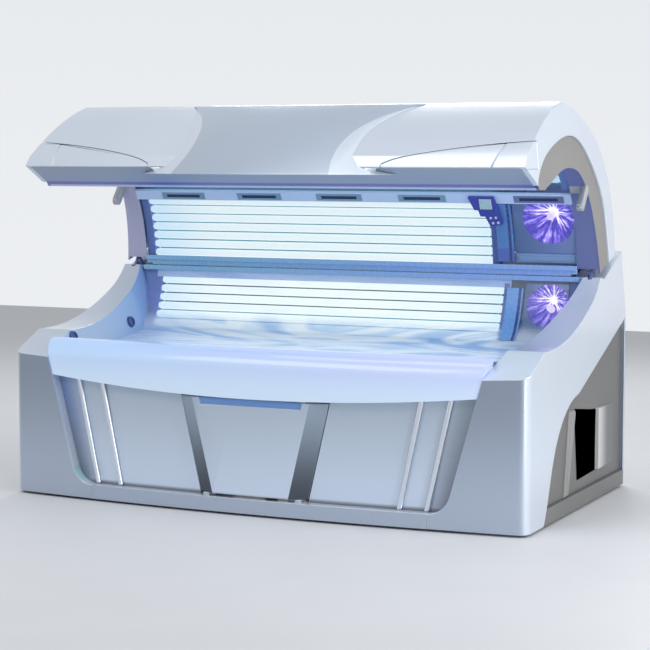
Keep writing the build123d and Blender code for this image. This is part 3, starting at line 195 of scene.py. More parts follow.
# %% Camera
lens = bpy.data.cameras.new("camera")
lens.sensor_width = 36
lens.lens = 104.63
camera = bpy.data.objects.new("camera", lens)
camera.location = (3.616, -7.566, 1.508)
camera.rotation_euler = (radians(84.797), 0, radians(25.4))
scene.collection.objects.link(camera)
scene.camera = camera
print("camera at", tuple(camera.location))

# %% [markdown]
# ## Stage
# A pale floor, a surround that is bright above and dim at the horizon, and five soft boxes. The surround
# shades the upright faces; the boxes give the satin paint its gradients and the fins their bright lines.
# What the camera, gloss and glass see of the surround is set apart with Light Path, so a pale backdrop shows
# in reflections and adds no diffuse light.

# %% Floor
bpy.ops.object.select_all(action="DESELECT")
bpy.ops.mesh.primitive_plane_add(size=16, location=(0, 0, 0))
floor = bpy.context.object
floor.name = "floor"
place = begin("floor_paint")
dust = place.noise(3.0, 4.0)
surface(place, Base_Color=dust.blend((0.66, 0.67, 0.69), (0.70, 0.71, 0.73)), Roughness=0.55 + 0.1 * dust)
floor.data.materials.append(finishes["floor_paint"])
print("floor", tuple(floor.dimensions))

# %% Surround
world = bpy.data.worlds.new("studio")
world.use_nodes = True
world.node_tree.nodes.clear()
scene.world = world
sky = Wire(world.node_tree, None)
height = sky.node("TexCoord", {}, {}, "Generated").axis("Z")
seen_colour = height.between(-0.1, 0.9).blend((0.84, 0.86, 0.89), (0.42, 0.45, 0.50))
seen = sky.node("Background", {}, {"Color": seen_colour, "Strength": 1.0})
light_colour = height.between(-0.3, 0.9).blend((0.34, 0.37, 0.41), (0.96, 0.98, 1.0))
light = sky.node("Background", {}, {"Color": light_colour, "Strength": 0.60})
path = sky.node("LightPath", {}, {}, "Is Camera Ray")
rays = path.socket.node.outputs
looks = path + Wire(sky.tree, rays["Is Glossy Ray"]) + Wire(sky.tree, rays["Is Transmission Ray"])
both = sky.node("MixShader", {}, {"Fac": looks, "Shader": light, "Shader_001": seen})
sky.node("OutputWorld", {}, {"Surface": both})
print("surround:", len(world.node_tree.nodes), "nodes")


# %% Soft boxes
def soft_box(name, place, aim, size, watts, colour):
    """A rectangular lamp that looks at a point."""
    lamp = bpy.data.lights.new(name, "AREA")
    lamp.shape = "RECTANGLE"
    lamp.size, lamp.size_y = size
    lamp.energy = watts
    lamp.color = colour
    box = bpy.data.objects.new(name, lamp)
    box.location = place
    box.rotation_euler = (Vector(aim) - Vector(place)).to_track_quat("-Z", "Y").to_euler()
    scene.collection.objects.link(box)


warm, white, day, cool = (1.0, 0.98, 0.95), (1.0, 1.0, 1.0), (0.97, 0.98, 1.0), (0.95, 0.97, 1.0)
soft_box("key_box", place=(-1.8, -4.6, 3.8), aim=(0, -0.4, 0.8), size=(3.2, 1.8), watts=62, colour=warm)
soft_box("side_box", place=(4.8, -0.6, 2.4), aim=(1.0, 0, 0.7), size=(2.6, 3.2), watts=84, colour=cool)
soft_box("strip_box", place=(3.7, -1.9, 1.1), aim=(1.2, -0.6, 0.5), size=(0.22, 2.2), watts=26, colour=white)
soft_box("top_box", place=(0.2, -0.9, 4.6), aim=(0, 0.1, 1.2), size=(4.2, 1.6), watts=46, colour=day)
soft_box("back_box", place=(-1.5, 4.5, 3.6), aim=(0, 0.3, 1.0), size=(3.0, 1.5), watts=90, colour=cool)

# %% [markdown]
# ## Finishes
# The shells are sprayed in a pearl silver: a pale body colour, fine flakes that break up the gloss, and a
# clear coat. One noise at flake size feeds roughness and a faint bump; a wide one drifts the colour. In the
# photograph the upright fronts mirror a dark room and look deeper, most of all high on the wings. A pale
# stage can't give that, so the colour itself is graded there by the object's own normal and height.

# %% Pearl paint
DRIFT_SCALE, FLAKE_SCALE, FLAKE_RELIEF = 1.3, 1400, 0.0002
LOW_FRONT_SHADE, HIGH_FRONT_SHADE = (0.42, 0.49, 0.61), (0.27, 0.32, 0.41)
FACES_FRONT = (0.62, 1.0)
BENCH_RIM = (0.70, 0.80)


def pearl(name, deep, pale):
    """Satin silver between two tones, with painted shade, a painted reflection of a dark room, on upright
    fronts below the rim of the bench.
    """
    place = begin(name)
    up = place.axis("Z")
    drift = place.noise(DRIFT_SCALE)
    flake = place.noise(FLAKE_SCALE, 1.0)
    facing = 0 - place.node("TexCoord", {}, {}, "Normal").axis("Y")
    # painted shade on upright fronts below the bench rim, deeper higher up
    upright = up.between(0.10, 0.60).blend(LOW_FRONT_SHADE, HIGH_FRONT_SHADE)
    front = facing.between(*FACES_FRONT) * (1 - up.between(*BENCH_RIM))
    surface(place, Base_Color=front.blend(drift.blend(deep, pale), upright), Metallic=0.30,
            Roughness=0.24 + 0.10 * flake, Coat_Weight=0.6, Coat_Roughness=0.08,
            Normal=flake.bump(0.04, FLAKE_RELIEF))


pearl("pearl_paint", (0.63, 0.69, 0.78), (0.71, 0.77, 0.86))
# a deeper pearl for the visor's broad face, as painted shade
pearl("visor_shaded_pearl", (0.44, 0.51, 0.61), (0.50, 0.57, 0.67))

# %% [markdown]
# The front panels are brushed metal. A painted gradient of light makes them paler low down, they end in a
# dark line at the plinth, and where they meet the wings they carry a painted reflection of the tunnel's blue
# with painted shade. So the colour follows the height, and the distance to the opening's slanting edge.

# %% Brushed front panels
OPENING_FOOT, OPENING_SLANT = 0.842, 0.275


def brushing(place):
    """Fine strokes that run along a panel."""
    return place.stretch((3, 3, 420)).noise(1.0, 3.0)


place = begin("brushed_panel")
strokes = brushing(place)
up, along = place.axis("Z"), place.axis("X")
# painted light: paler low down, with a painted reflection of the tunnel's blue and painted shade near the
# opening's edge
rise = up.between(0.08, 0.56)
colour = rise.blend((0.66, 0.76, 0.92), (0.44, 0.53, 0.63))
near = 1 - (OPENING_FOOT + OPENING_SLANT * up - abs(along)).between(0.0, 0.15)
lit = along.between(-0.3, 0.3).blend((0.10, 0.20, 0.50), (0.20, 0.25, 0.30))
colour = (0.85 * near).blend(colour, rise.blend((0.10, 0.12, 0.18), lit))
colour = (1 - up.between(0.076, 0.094)).blend(colour, (0.15, 0.17, 0.20))
colour = (0.22 * strokes).blend(colour, (0.66, 0.71, 0.80))
surface(place, Base_Color=colour, Metallic=0.45, Roughness=0.30 + 0.16 * strokes,
        Normal=strokes.bump(0.06, 0.0004))

# %% [markdown]
# The door's slanting flanks carry painted shade, its grip recess carries painted blue light with a faint
# glow, and the wings carry painted blue light where the light of the tunnel falls on them. Most of these
# paints run from one tone to another along an axis, which needs fewer nodes than a painted mask.

# %% Slopes, grip and lit edges of the front
# painted shade: the slanting flanks darken towards their foot
place = begin("slope_painted_shade")
strokes = brushing(place)
colour = place.axis("Z").between(0.09, 0.50).blend((0.07, 0.085, 0.11), (0.33, 0.41, 0.50))
surface(place, Base_Color=colour, Metallic=0.3, Roughness=0.30 + 0.16 * strokes)

# painted light: the grip recess is blue with a faint glow of the tunnel's light
place = begin("grip_painted_light")
surface(place, Base_Color=place.noise(9.0).blend((0.13, 0.25, 0.52), (0.17, 0.30, 0.58)), Roughness=0.4,
        Emission_Color=(0.015, 0.04, 0.10), Emission_Strength=1.0)

# painted light: the tunnel's blue light on the wings' edges beside the opening, deeper blue higher up
place = begin("lit_edge")
colour = place.axis("Z").between(0.10, 0.58).blend((0.40, 0.60, 0.68), (0.12, 0.30, 0.72))
surface(place, Base_Color=colour, Roughness=0.28 + 0.08 * place.noise(50))

# painted light: the lamps' blue on the wings' faces inside the tunnel, deeper blue further back
place = begin("tunnel_side_lamp_light")
deep = place.axis("Y").between(-0.35, 0.30)
colour = deep.blend((0.50, 0.62, 0.80), (0.30, 0.47, 0.78))
surface(place, Base_Color=colour, Roughness=0.26 + 0.08 * place.noise(50), Coat_Weight=0.4)

# %% [markdown]
# The fins are polished metal. A perfect mirror looks false, so a faint smear varies its gloss.

# %% Chrome of the fins
place = begin("bright_metal")
smear = place.noise(40, 3.0)
surface(place, Base_Color=smear.blend((0.70, 0.75, 0.82), (0.80, 0.84, 0.90)), Metallic=1.0,
        Roughness=0.08 + 0.10 * smear)

# %% [markdown]
# The dark parts are moulded plastic with a fine spark-eroded grain: a small noise as bump, and a wide one
# that lets the grey drift as it does on a large moulding.

# %% Dark mouldings
def moulding(name, dark, pale, rough, grain):
    """Grained plastic between two tones, with its least roughness and the fineness of its grain."""
    place = begin(name)
    drift = place.noise(2.0)
    spark = place.noise(grain, 2.0)
    surface(place, Base_Color=drift.blend(dark, pale), Roughness=rough + 0.15 * spark,
            Normal=spark.bump(0.12, 0.0003))


moulding("side_moulding", (0.130, 0.126, 0.122), (0.185, 0.180, 0.174), 0.34, 700)
moulding("skirt_moulding", (0.150, 0.148, 0.146), (0.200, 0.198, 0.195), 0.36, 700)
moulding("black_moulding", (0.010, 0.010, 0.011), (0.018, 0.018, 0.020), 0.45, 900)
moulding("arch_moulding", (0.235, 0.220, 0.212), (0.290, 0.272, 0.262), 0.34, 800)
# indigo moulding, also used as painted shade on the right arch rim and the fifth slot frame
moulding("indigo_and_shade_moulding", (0.120, 0.150, 0.360), (0.180, 0.210, 0.440), 0.36, 800)
# painted light: the pale mauve of the left arch rim
moulding("rim_painted_light", (0.420, 0.420, 0.600), (0.500, 0.500, 0.680), 0.34, 800)
moulding("tongue_silver", (0.400, 0.405, 0.420), (0.480, 0.485, 0.500), 0.30, 800)
moulding("holder_blue", (0.130, 0.190, 0.520), (0.180, 0.250, 0.600), 0.36, 800)
# painted highlight: a paler copy of the side moulding for the rib
moulding("rib_highlight", (0.240, 0.236, 0.230), (0.300, 0.295, 0.288), 0.28, 700)
moulding("slot_navy", (0.010, 0.018, 0.090), (0.018, 0.030, 0.130), 0.35, 800)
moulding("slot_frame", (0.180, 0.330, 0.450), (0.230, 0.400, 0.520), 0.32, 800)
moulding("ledge_blue", (0.280, 0.450, 0.760), (0.360, 0.540, 0.840), 0.26, 800)
moulding("foot_rubber", (0.012, 0.012, 0.012), (0.022, 0.021, 0.020), 0.70, 500)
moulding("powder_coat", (0.085, 0.088, 0.094), (0.120, 0.124, 0.130), 0.50, 350)
moulding("back_paint", (0.330, 0.345, 0.370), (0.390, 0.405, 0.430), 0.42, 500)
moulding("navy_panel", (0.035, 0.045, 0.340), (0.055, 0.065, 0.440), 0.30, 900)
moulding("pale_button", (0.560, 0.640, 0.800), (0.660, 0.740, 0.880), 0.28, 900)
moulding("nozzle_blue", (0.040, 0.090, 0.260), (0.065, 0.130, 0.340), 0.28, 900)

# %% [markdown]
# Three mouldings change colour along an axis. The lip under the nose is a grey-blue of painted shade and ends
# in an indigo groove and a pale mauve edge, the side scoop carries a painted highlight on its front edge, and
# the slate window trays turn paler to the right and carry a faint painted glow. The display of the control
# panel is dark glass with a speckled glow.

# %% Graded mouldings
place = begin("lip_shade_moulding")
up = place.axis("Z")
# painted shade: the lip's grey-blue body, above an indigo groove and a pale mauve edge
colour = up.between(1.38, 1.45).blend((0.26, 0.33, 0.50), (0.30, 0.37, 0.47))
colour = (1 - up.between(1.378, 1.386)).blend(colour, (0.09, 0.11, 0.44))
colour = (1 - up.between(1.366, 1.372)).blend(colour, (0.52, 0.56, 0.82))
surface(place, Base_Color=colour, Roughness=0.30 + 0.10 * place.noise(700))

place = begin("scoop_highlight")
# painted highlight: bright at the scoop's front edge, fading to the side grey behind
colour = place.axis("Y").between(0.300, 0.480).blend((0.62, 0.61, 0.60), (0.150, 0.146, 0.142))
surface(place, Base_Color=colour, Roughness=0.26 + 0.12 * place.noise(700))

place = begin("slate_tray")
colour = place.axis("X").between(0.78, 1.08).blend((0.10, 0.16, 0.33), (0.26, 0.32, 0.58))
# painted glow: the trays glow faintly though they are no lamp
surface(place, Base_Color=colour, Roughness=0.30 + 0.10 * place.noise(40),
        Emission_Color=(0.015, 0.025, 0.06), Emission_Strength=1.0)

place = begin("display_glow")
dots = place.noise(300, 0.0).between(0.45, 0.55)
colour = dots.blend((0.24, 0.42, 0.54), (0.34, 0.54, 0.64))
surface(place, Base_Color=(0.02, 0.03, 0.04), Roughness=0.15 + 0.05 * dots, Emission_Color=colour,
        Emission_Strength=0.8)

# %% [markdown]
# ## Light and acrylic
# The lamps really glow, so their finish is an emission: nearly white in the middle of a tube, and bluer at
# its ends. The acrylic sheets are clear with a faint blue body: a low alpha that rises at a grazing angle, as
# the sheen of a real sheet does, lets the lamps light the tunnel through it.

# %% Lamp glass
place = begin("lamp_glow")
along = abs(place.axis("X") + 0.1)
colour = along.between(0.55, 1.05).blend((0.88, 0.99, 1.0), (0.62, 0.84, 1.0))
surface(place, Base_Color=(0.02, 0.03, 0.03), Roughness=0.25, Emission_Color=colour, Emission_Strength=1.0)

# %% [markdown]
# The bench is a thick sheet that mirrors the lamps as drawn-out swirls, which are painted into its colour as
# painted reflections. A stretched noise with strong distortion gives those shapes, a ramp with close stops
# their edges, and the sheet turns bluer towards both ends and has a faint painted glow. Where it rises behind
# the sunbather it is clear. The valance over the front carries a faint painted glow of the lamps behind it,
# pale at its lower edge, blue above, and more violet to the right.

# %% Acrylic
place = begin("clear_acrylic")
swell = place.stretch((2.2, 6.0, 6.0)).noise(1.0, 1.0)
graze = place.graze()
surface(place, Base_Color=swell.blend((0.16, 0.32, 0.58), (0.24, 0.42, 0.70)), Roughness=0.05 + 0.05 * swell,
        Alpha=0.05 + 0.35 * graze)

place = begin("bench_sheet")
# painted reflections of the lamps, as swirls
streaks = place.node("TexNoise", {}, {"Vector": place.stretch((0.9, 3.6, 3.6)), "Scale": 1.1, "Detail": 1.0,
                                      "Distortion": 2.6})
colour = place.node("ValToRGB", {"stops": [(0.36, (0.24, 0.44, 0.78)), (0.43, (0.54, 0.71, 0.91)),
                                           (0.48, (0.86, 0.91, 0.96)), (0.57, (0.90, 0.93, 0.96)),
                                           (0.61, (0.38, 0.60, 0.87)), (0.68, (0.74, 0.84, 0.94))]},
                    {"Fac": streaks})
ends = abs(place.axis("X") - 0.1).between(0.55, 1.15)
colour = (0.50 * ends).blend(colour, (0.24, 0.44, 0.80))
graze = place.graze()
wall = place.axis("Z").between(0.70, 0.76) * place.axis("Y").between(0.0, 0.1)
# a faint painted glow of the lamps below
surface(place, Base_Color=colour, Roughness=0.20 + 0.08 * streaks, Emission_Color=(0.05, 0.06, 0.08),
        Emission_Strength=1.0, Alpha=(0.45 + 0.50 * graze) * (1 - wall) + (0.05 + 0.30 * graze) * wall)

place = begin("valance_glow")
fall = place.axis("Z").between(0.50, 0.70)
across = place.axis("X").between(-1.0, 1.0)
colour = fall.blend((0.52, 0.66, 0.84), across.blend((0.36, 0.54, 0.84), (0.42, 0.46, 0.82)))
# a faint painted glow of the lamps behind the valance
surface(place, Base_Color=colour, Roughness=0.22 + 0.06 * place.noise(6.0), Emission_Color=(0.17, 0.20, 0.23),
        Emission_Strength=1.0, Coat_Weight=0.4)

# %% [markdown]
# Behind the lamps a rolled sheet shows as thin teal lines, a painted reflection of the lamps. The blue trim
# is paler on the rails than on the pillars and has a faint painted glow. Each pillar has a painted shadow
# line near its right edge, and the canopy's has a darker foot.

# %% Reflector sheet and blue trim
place = begin("reflector_sheet")
rolled = place.stretch((2, 200, 200)).noise(1.0)
# painted reflection: teal for the lamps' light in the reflector
surface(place, Base_Color=rolled.blend((0.08, 0.25, 0.33), (0.12, 0.32, 0.40)),
        Roughness=0.45 + 0.15 * rolled)

place = begin("blue_trim")
up = place.axis("Z")
grain = place.noise(60, 2.0)
rail = up.band((0.940, 0.944), (1.020, 1.024))
base_pillar = 1 - up.between(0.97, 0.98)
left = place.axis("X") - 0.048 * base_pillar
line = left.band((0.777, 0.780), (0.790, 0.793)) * (1 - rail)
colour = up.between(0.95, 1.10).blend((0.16, 0.36, 0.72), (0.085, 0.22, 0.50))
foot = up.band((1.026, 1.028), (1.086, 1.090))
colour = foot.blend(colour, (0.085, 0.14, 0.46))
colour = line.blend(colour, (0.02, 0.04, 0.20))
colour = rail.blend(colour, place.axis("X").between(-0.9, 0.9).blend((0.26, 0.50, 0.70), (0.28, 0.44, 0.82)))
# a faint painted glow on the trim
surface(place, Base_Color=colour, Roughness=0.22 + 0.10 * grain, Emission_Color=(0.01, 0.02, 0.05),
        Emission_Strength=1.0)

place = begin("strip_pale")
# painted glow: the strip glows faintly though it is no lamp
surface(place, Base_Color=place.noise(4.0).blend((0.46, 0.58, 0.80), (0.54, 0.66, 0.88)), Roughness=0.30,
        Emission_Color=(0.04, 0.06, 0.10), Emission_Strength=1.0)
print("finishes so far:", len(finishes))

# %% [markdown]
# ## Skins
# The CAD nodes come in as loose triangles, which look faceted. A skin is a copy of a node with its corners
# welded, its flat faces joined, its hard edges rounded by a small bevel, and its normals smoothed. The skin
# rides on the node's own body and stands for it.

# %% Make a skin
WELD, FLAT, HARD = 0.00002, 0.2, 32  # a distance in metres and two angles in degrees


def only(piece):
    """Select this piece alone."""
    bpy.ops.object.select_all(action="DESELECT")
    piece.select_set(True)
    bpy.context.view_layer.objects.active = piece


def dress(piece, finish):
    """One finish on the whole piece."""
    piece.data.materials.clear()
    piece.data.materials.append(finishes[finish])


def smooth(piece, edge, segments=2):
    """Round the hard edges of a mesh and smooth the rest."""
    only(piece)
    if edge:
        rounding = piece.modifiers.new("rounding", "BEVEL")
        rounding.width = edge
        rounding.segments = segments
        rounding.limit_method = "ANGLE"
        rounding.angle_limit = radians(HARD)
        rounding.use_clamp_overlap = False
        rounding.miter_outer = "MITER_ARC"
        bpy.ops.object.modifier_apply(modifier=rounding.name)
    bpy.ops.object.shade_smooth_by_angle(angle=radians(HARD + 6))
    evening = piece.modifiers.new("evening", "WEIGHTED_NORMAL")
    evening.keep_sharp = True
    bpy.ops.object.modifier_apply(modifier=evening.name)


def skin(node, finish, edge=0.0015, segments=2):
    """A welded, rounded and smoothed copy that stands for a CAD node; edge 0 leaves the faces as they are."""
    source = nodes[node]
    piece = bpy.data.objects.new(node + "_skin", source.data.copy())
    scene.collection.objects.link(piece)
    only(piece)
    bpy.ops.object.mode_set(mode="EDIT")
    bpy.ops.mesh.select_all(action="SELECT")
    bpy.ops.mesh.remove_doubles(threshold=WELD)
    if edge:
        bpy.ops.mesh.dissolve_limited(angle_limit=radians(FLAT))
    bpy.ops.object.mode_set(mode="OBJECT")
    smooth(piece, edge, segments)
    dress(piece, finish)
    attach(piece, source["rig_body"])
    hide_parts(node)
    return piece


def repaint(piece, finish, chosen):
    """Another finish on the faces for which chosen(centre, normal) holds."""
    piece.data.materials.append(finishes[finish])
    last = len(piece.data.materials) - 1
    count = 0
    for face in piece.data.polygons:
        if chosen(face.center, face.normal):
            face.material_index = last
            count += 1
    print(piece.name, "has", count, "faces in", finish)


# %% [markdown]
# The list gives each shell its finish and the width of its rounded edges, in metres. Where that is 0 the
# faces stay as the CAD has them.

# %% Shells and panels
skins = {}
for node, finish, edge in (
    ("wing_left", "pearl_paint", 0.004), ("wing_right", "pearl_paint", 0.004),
    ("canopy_shell", "pearl_paint", 0.003), ("canopy_centre_panel", "pearl_paint", 0.006),
    ("nose_insert_left", "pearl_paint", 0.003), ("nose_insert_right", "pearl_paint", 0.003),
    ("side_panel_left", "side_moulding", 0.003), ("side_panel_right", "side_moulding", 0.003),
    ("side_skirts", "skirt_moulding", 0.003), ("vent_grilles", "black_moulding", 0.001),
    ("plinth_front", "pearl_paint", 0.002), ("service_door", "brushed_panel", 0.002),
    ("front_panel_left", "brushed_panel", 0.001), ("front_panel_right", "brushed_panel", 0.001),
    ("front_fins", "bright_metal", 0.009), ("canopy_lip", "lip_shade_moulding", 0.002),
    ("arch_plate_left", "arch_moulding", 0), ("arch_plate_right", "arch_moulding", 0),
    ("back_cover", "back_paint", 0), ("vent_strip", "strip_pale", 0.0015),
    ("base_trim", "blue_trim", 0.002), ("canopy_trim", "blue_trim", 0.002),
    ("control_panel", "navy_panel", 0.001), ("valance", "valance_glow", 0.001),
    ("bench_acrylic", "bench_sheet", 0.001), ("canopy_acrylic", "clear_acrylic", 0.0008),
    ("face_glass", "clear_acrylic", 0.0008), ("shoulder_glass", "clear_acrylic", 0.0008),
):
    skins[node] = skin(node, finish, edge, 4 if node == "front_fins" else 2)
print("skins:", len(skins))

# %% [markdown]
# The arch plates are one moulding in two colours: taupe on the outside, and where the rim turns into the
# tunnel painted shade in deep indigo on the right plate and painted light in pale mauve on the left. A silver
# tongue crosses each. The faces are chosen by where they look and where they lie.

# %% Two-colour arch plates
LOOKS = 0.5  # the least part of a normal along an axis for its face to look that way
TONGUE_Y, TONGUE_Z, TONGUE_HALF = 0.208, 1.350, 0.0205
ACROSS_Y, ACROSS_Z = 0.8057, 0.5924


def on_tongue(centre, normal):
    """Whether a face lies in the slanting tongue, between its ends and its long edges."""
    beside = (centre.y - TONGUE_Y) * ACROSS_Y - (centre.z - TONGUE_Z) * ACROSS_Z
    return 0.13 < centre.y < 0.235 and 1.255 < centre.z < 1.377 and abs(beside) < TONGUE_HALF


for side, node in ((-1, "arch_plate_left"), (1, "arch_plate_right")):
    # painted shade on the right rim, painted light on the left
    rim = "indigo_and_shade_moulding" if side > 0 else "rim_painted_light"
    repaint(skins[node], rim, lambda centre, normal, side=side: normal.x * side < LOOKS)
    repaint(skins[node], "tongue_silver", on_tongue)

# %% [markdown]
# Other shells carry a second finish too: painted shade makes the visor's broad face deeper than its flanks
# and the door's slopes darker, the grip recess is a darker blue of painted light, the wings carry painted
# blue light where they look into the opening, and painted highlights brighten the side panels on the scoop
# and the rib.

# %% Second finishes
GRIP_FOOT, GRIP_BACK, GRIP_HALF = 0.455, -0.678, 0.245
TUNNEL_FRONT, SILL_TOP, OPENING_HALF = -0.5, 0.635, 1.02
DISPLAY_RAISED = 0.0305
# painted shade on the visor's broad face
repaint(skins["canopy_centre_panel"], "visor_shaded_pearl", lambda centre, normal:
        abs(normal.x) < 0.1 and normal.z > 0)
panel_out = Vector((0, -0.9177, -0.3972))
panel_seat = Vector((0.682, 0.2605, 1.262))
repaint(skins["control_panel"], "display_glow", lambda centre, normal: normal.dot(panel_out) > 0.9
        and (centre - panel_seat).dot(panel_out) > DISPLAY_RAISED)
door = skins["service_door"]
repaint(door, "slope_painted_shade", lambda centre, normal: 0.3 < abs(normal.x) < 0.7 and normal.y < -0.6)
repaint(door, "grip_painted_light", lambda centre, normal: normal.y < -LOOKS and centre.z > GRIP_FOOT
        and centre.y > GRIP_BACK and abs(centre.x) < GRIP_HALF)
# painted blue light where the wings look into the opening and the tunnel
for side, node in ((1, "wing_left"), (-1, "wing_right")):
    repaint(skins[node], "lit_edge", lambda centre, normal, side=side:
            normal.x * side > LOOKS and centre.y < TUNNEL_FRONT and centre.z < SILL_TOP
            and abs(centre.x) < OPENING_HALF)
    repaint(skins[node], "tunnel_side_lamp_light", lambda centre, normal, side=side:
            normal.x * side > LOOKS and centre.y > TUNNEL_FRONT and centre.z > 0.6)
# painted highlights on the scoop and the rib of each side panel
for node in ("side_panel_left", "side_panel_right"):
    repaint(skins[node], "scoop_highlight", lambda centre, normal:
            abs(centre.x) > 1.183 and 0.300 < centre.y < 0.566 and 0.12 < centre.z < 0.41)
    repaint(skins[node], "rib_highlight", lambda centre, normal:
            abs(centre.x) > 1.184 and centre.y < 0.01 and centre.z < 0.45)

# %% [markdown]
# ## Lamp tubes
# The CAD gives each tube its length and place. Its skin rounds the glass shoulders, so that the glow fades
# over an edge and not at a sharp rim. The reflectors behind keep their CAD mesh and only get a finish.

# %% Tubes
for node in ("bench_lamps", "rear_lamps", "canopy_lamps"):
    tubes = skin(node, "lamp_glow", 0.004)
    print(node, len(tubes.data.polygons), "faces")

for node in ("base_reflector", "canopy_reflector"):
    nodes[node].material_slots[0].material = finishes["reflector_sheet"]

# %% [markdown]
# ## Inside and small parts
# Frames, fans, springs, nozzles and buttons are hidden or small. A skin with edge 0 welds and smooths them
# and rounds nothing, which is enough at their size.

# %% Hidden and small nodes
for finish, names in {
    "powder_coat": ("base_frame", "floor_pan", "ballasts"),
    "indigo_and_shade_moulding": ("canopy_frame", "hinge_brackets"),
    "black_moulding": ("fan_housings", "fan_rotor_left", "fan_rotor_right", "power_inlet",
                       "gas_cylinder_left", "gas_cylinder_right"),
    "holder_blue": ("base_lamp_holders", "canopy_lamp_holders"),
    "bright_metal": ("gas_rod_left", "gas_rod_right"),
    "foot_rubber": ("levelling_feet",),
    "nozzle_blue": ("nozzle_front", "nozzle_rear"),
    "pale_button": ("panel_button_1", "panel_button_2", "panel_button_3", "panel_button_4"),
}.items():
    for name in names:
        skin(name, finish, 0)
    print(finish, "on", len(names), "nodes")

# %% [markdown]
# ## Face and shoulder reflectors
# Behind the two round windows sit bowls of pressed aluminium, facetted so that they scatter the violet light
# of a small high-pressure lamp; that light is painted into the bowls as painted reflections and a painted
# glow. A circle drawn down and in by a few steps gives flat panels; poking each panel gives it the pyramid
# facets. The bowls are left flat shaded.

# %% Facetted bowls
def facets(name, centre, radius):
    """Violet facets with painted reflections: white streaks that run out from a painted bright spot above the
    middle, and a painted glow.
    """
    place = begin(name)
    across = (place.axis("X") - centre[0] - 0.1 * radius) / radius
    up = (place.axis("Z") - centre[2] - 0.25 * radius) / radius
    turn = across.sum("ARCTAN2", up, across)
    reach = across.sum("POWER", across * across + up * up, 0.5)
    rays = place.node("TexNoise", {"noise_dimensions": "2D"}, {
        "Vector": place.node("CombineXYZ", {}, {"X": 3.2 * turn, "Y": 0.9 * reach}),
        "Scale": 1.6, "Detail": 3.0})
    # painted reflection: a bright spot and streaks of the lamp
    glare = rays.between(0.42, 0.72) * (1.15 - 0.75 * reach) + (1 - reach.between(0.05, 0.32))
    colour = place.node("ValToRGB", {"stops": [(0.0, (0.09, 0.06, 0.40)), (0.24, (0.26, 0.17, 0.70)),
                                               (0.50, (0.58, 0.44, 0.92)), (0.78, (1.0, 0.97, 1.0))]},
                        {"Fac": glare})
    surface(place, Base_Color=colour, Metallic=0.5, Roughness=0.18 + 0.1 * rays, Emission_Color=colour,
            Emission_Strength=0.6)


BOWL_SIDES, BOWL_STEPS = 26, (0.82, 0.62, 0.42, 0.20)
STEP_DROP, FACET_SINK = 0.24, 0.006


def bowl(node, centre, normal, radius, depth):
    """A facetted bowl that opens along the normal, with its mouth at the centre."""
    facets(node + "_violet", centre, radius)
    bpy.ops.object.select_all(action="DESELECT")
    bpy.ops.mesh.primitive_circle_add(vertices=BOWL_SIDES, radius=radius, fill_type="NOTHING")
    piece = bpy.context.object
    piece.name = node + "_facets"
    bpy.ops.object.mode_set(mode="EDIT")
    drop, before = depth * STEP_DROP, radius
    for share in BOWL_STEPS:
        ring = radius * share
        bpy.ops.mesh.extrude_region_move(TRANSFORM_OT_translate={"value": (0, 0, -drop)})
        bpy.ops.transform.resize(value=(ring / before, ring / before, 1))
        before = ring
    bpy.ops.mesh.edge_face_add()
    bpy.ops.mesh.select_all(action="SELECT")
    bpy.ops.mesh.poke(offset=-FACET_SINK)
    bpy.ops.mesh.normals_make_consistent(inside=True)
    bpy.ops.object.mode_set(mode="OBJECT")
    turn = Vector((0, 0, 1)).rotation_difference(Vector(normal)).to_matrix().to_4x4()
    piece.data.transform(Matrix.Translation(centre) @ turn)
    piece.location = (0, 0, 0)
    piece.data.materials.append(finishes[node + "_violet"])
    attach(piece, nodes[node]["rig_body"])
    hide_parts(node)
    print(piece.name, len(piece.data.polygons), "facets")


face_up, face_out = (0, -0.327, 0.945), (0, -0.945, -0.327)
shoulder_up, shoulder_out = (0, 0.3216, 0.9469), (0, -0.9469, 0.3216)
bowl("face_reflector", (0.9635, 0.2875, 1.2215), face_out, radius=0.117, depth=0.058)
bowl("shoulder_reflector", (0.9620, 0.3006, 0.8390), shoulder_out, radius=0.099, depth=0.058)
place = begin("violet_glow")
haze = place.noise(90)
surface(place, Base_Color=(0.03, 0.02, 0.06), Roughness=0.2 + 0.1 * haze, Emission_Strength=1.0,
        Emission_Color=haze.blend((0.70, 0.52, 1.0), (1.0, 0.96, 1.0)))
for node in ("face_lamp", "shoulder_lamp"):
    skin(node, "violet_glow", 0)

# %% [markdown]
# Around each bowl a slate tray closes the window. It is a thin slab with a round hole, which could be drawn
# as a ring of quads too; a Boolean with a cylinder cuts it in one step.

# %% Window trays
TRAY_THICK, HOLE_SIDES = 0.002, 64


def seat(middle, up, out):
    """The matrix that carries a piece drawn flat at the origin to its seat."""
    up, out = Vector(up), Vector(out)
    return Matrix.Translation(middle) @ Matrix((up.cross(out), up, out)).transposed().to_4x4()


def settle(piece, matrix, node):
    """Put a piece drawn at the origin on its seat, on the body of a CAD node."""
    piece.data.transform(matrix)
    piece.location = (0, 0, 0)
    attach(piece, nodes[node]["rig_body"])
    print(piece.name, "sits at", [round(v, 3) for v in matrix.translation])


def slab(name, size):
    """A block at the origin, drawn from a cube."""
    bpy.ops.object.select_all(action="DESELECT")
    bpy.ops.mesh.primitive_cube_add(size=1)
    piece = bpy.context.object
    piece.name = name
    bpy.ops.object.mode_set(mode="EDIT")
    bpy.ops.mesh.select_all(action="SELECT")
    bpy.ops.transform.resize(value=size)
    bpy.ops.object.mode_set(mode="OBJECT")
    return piece


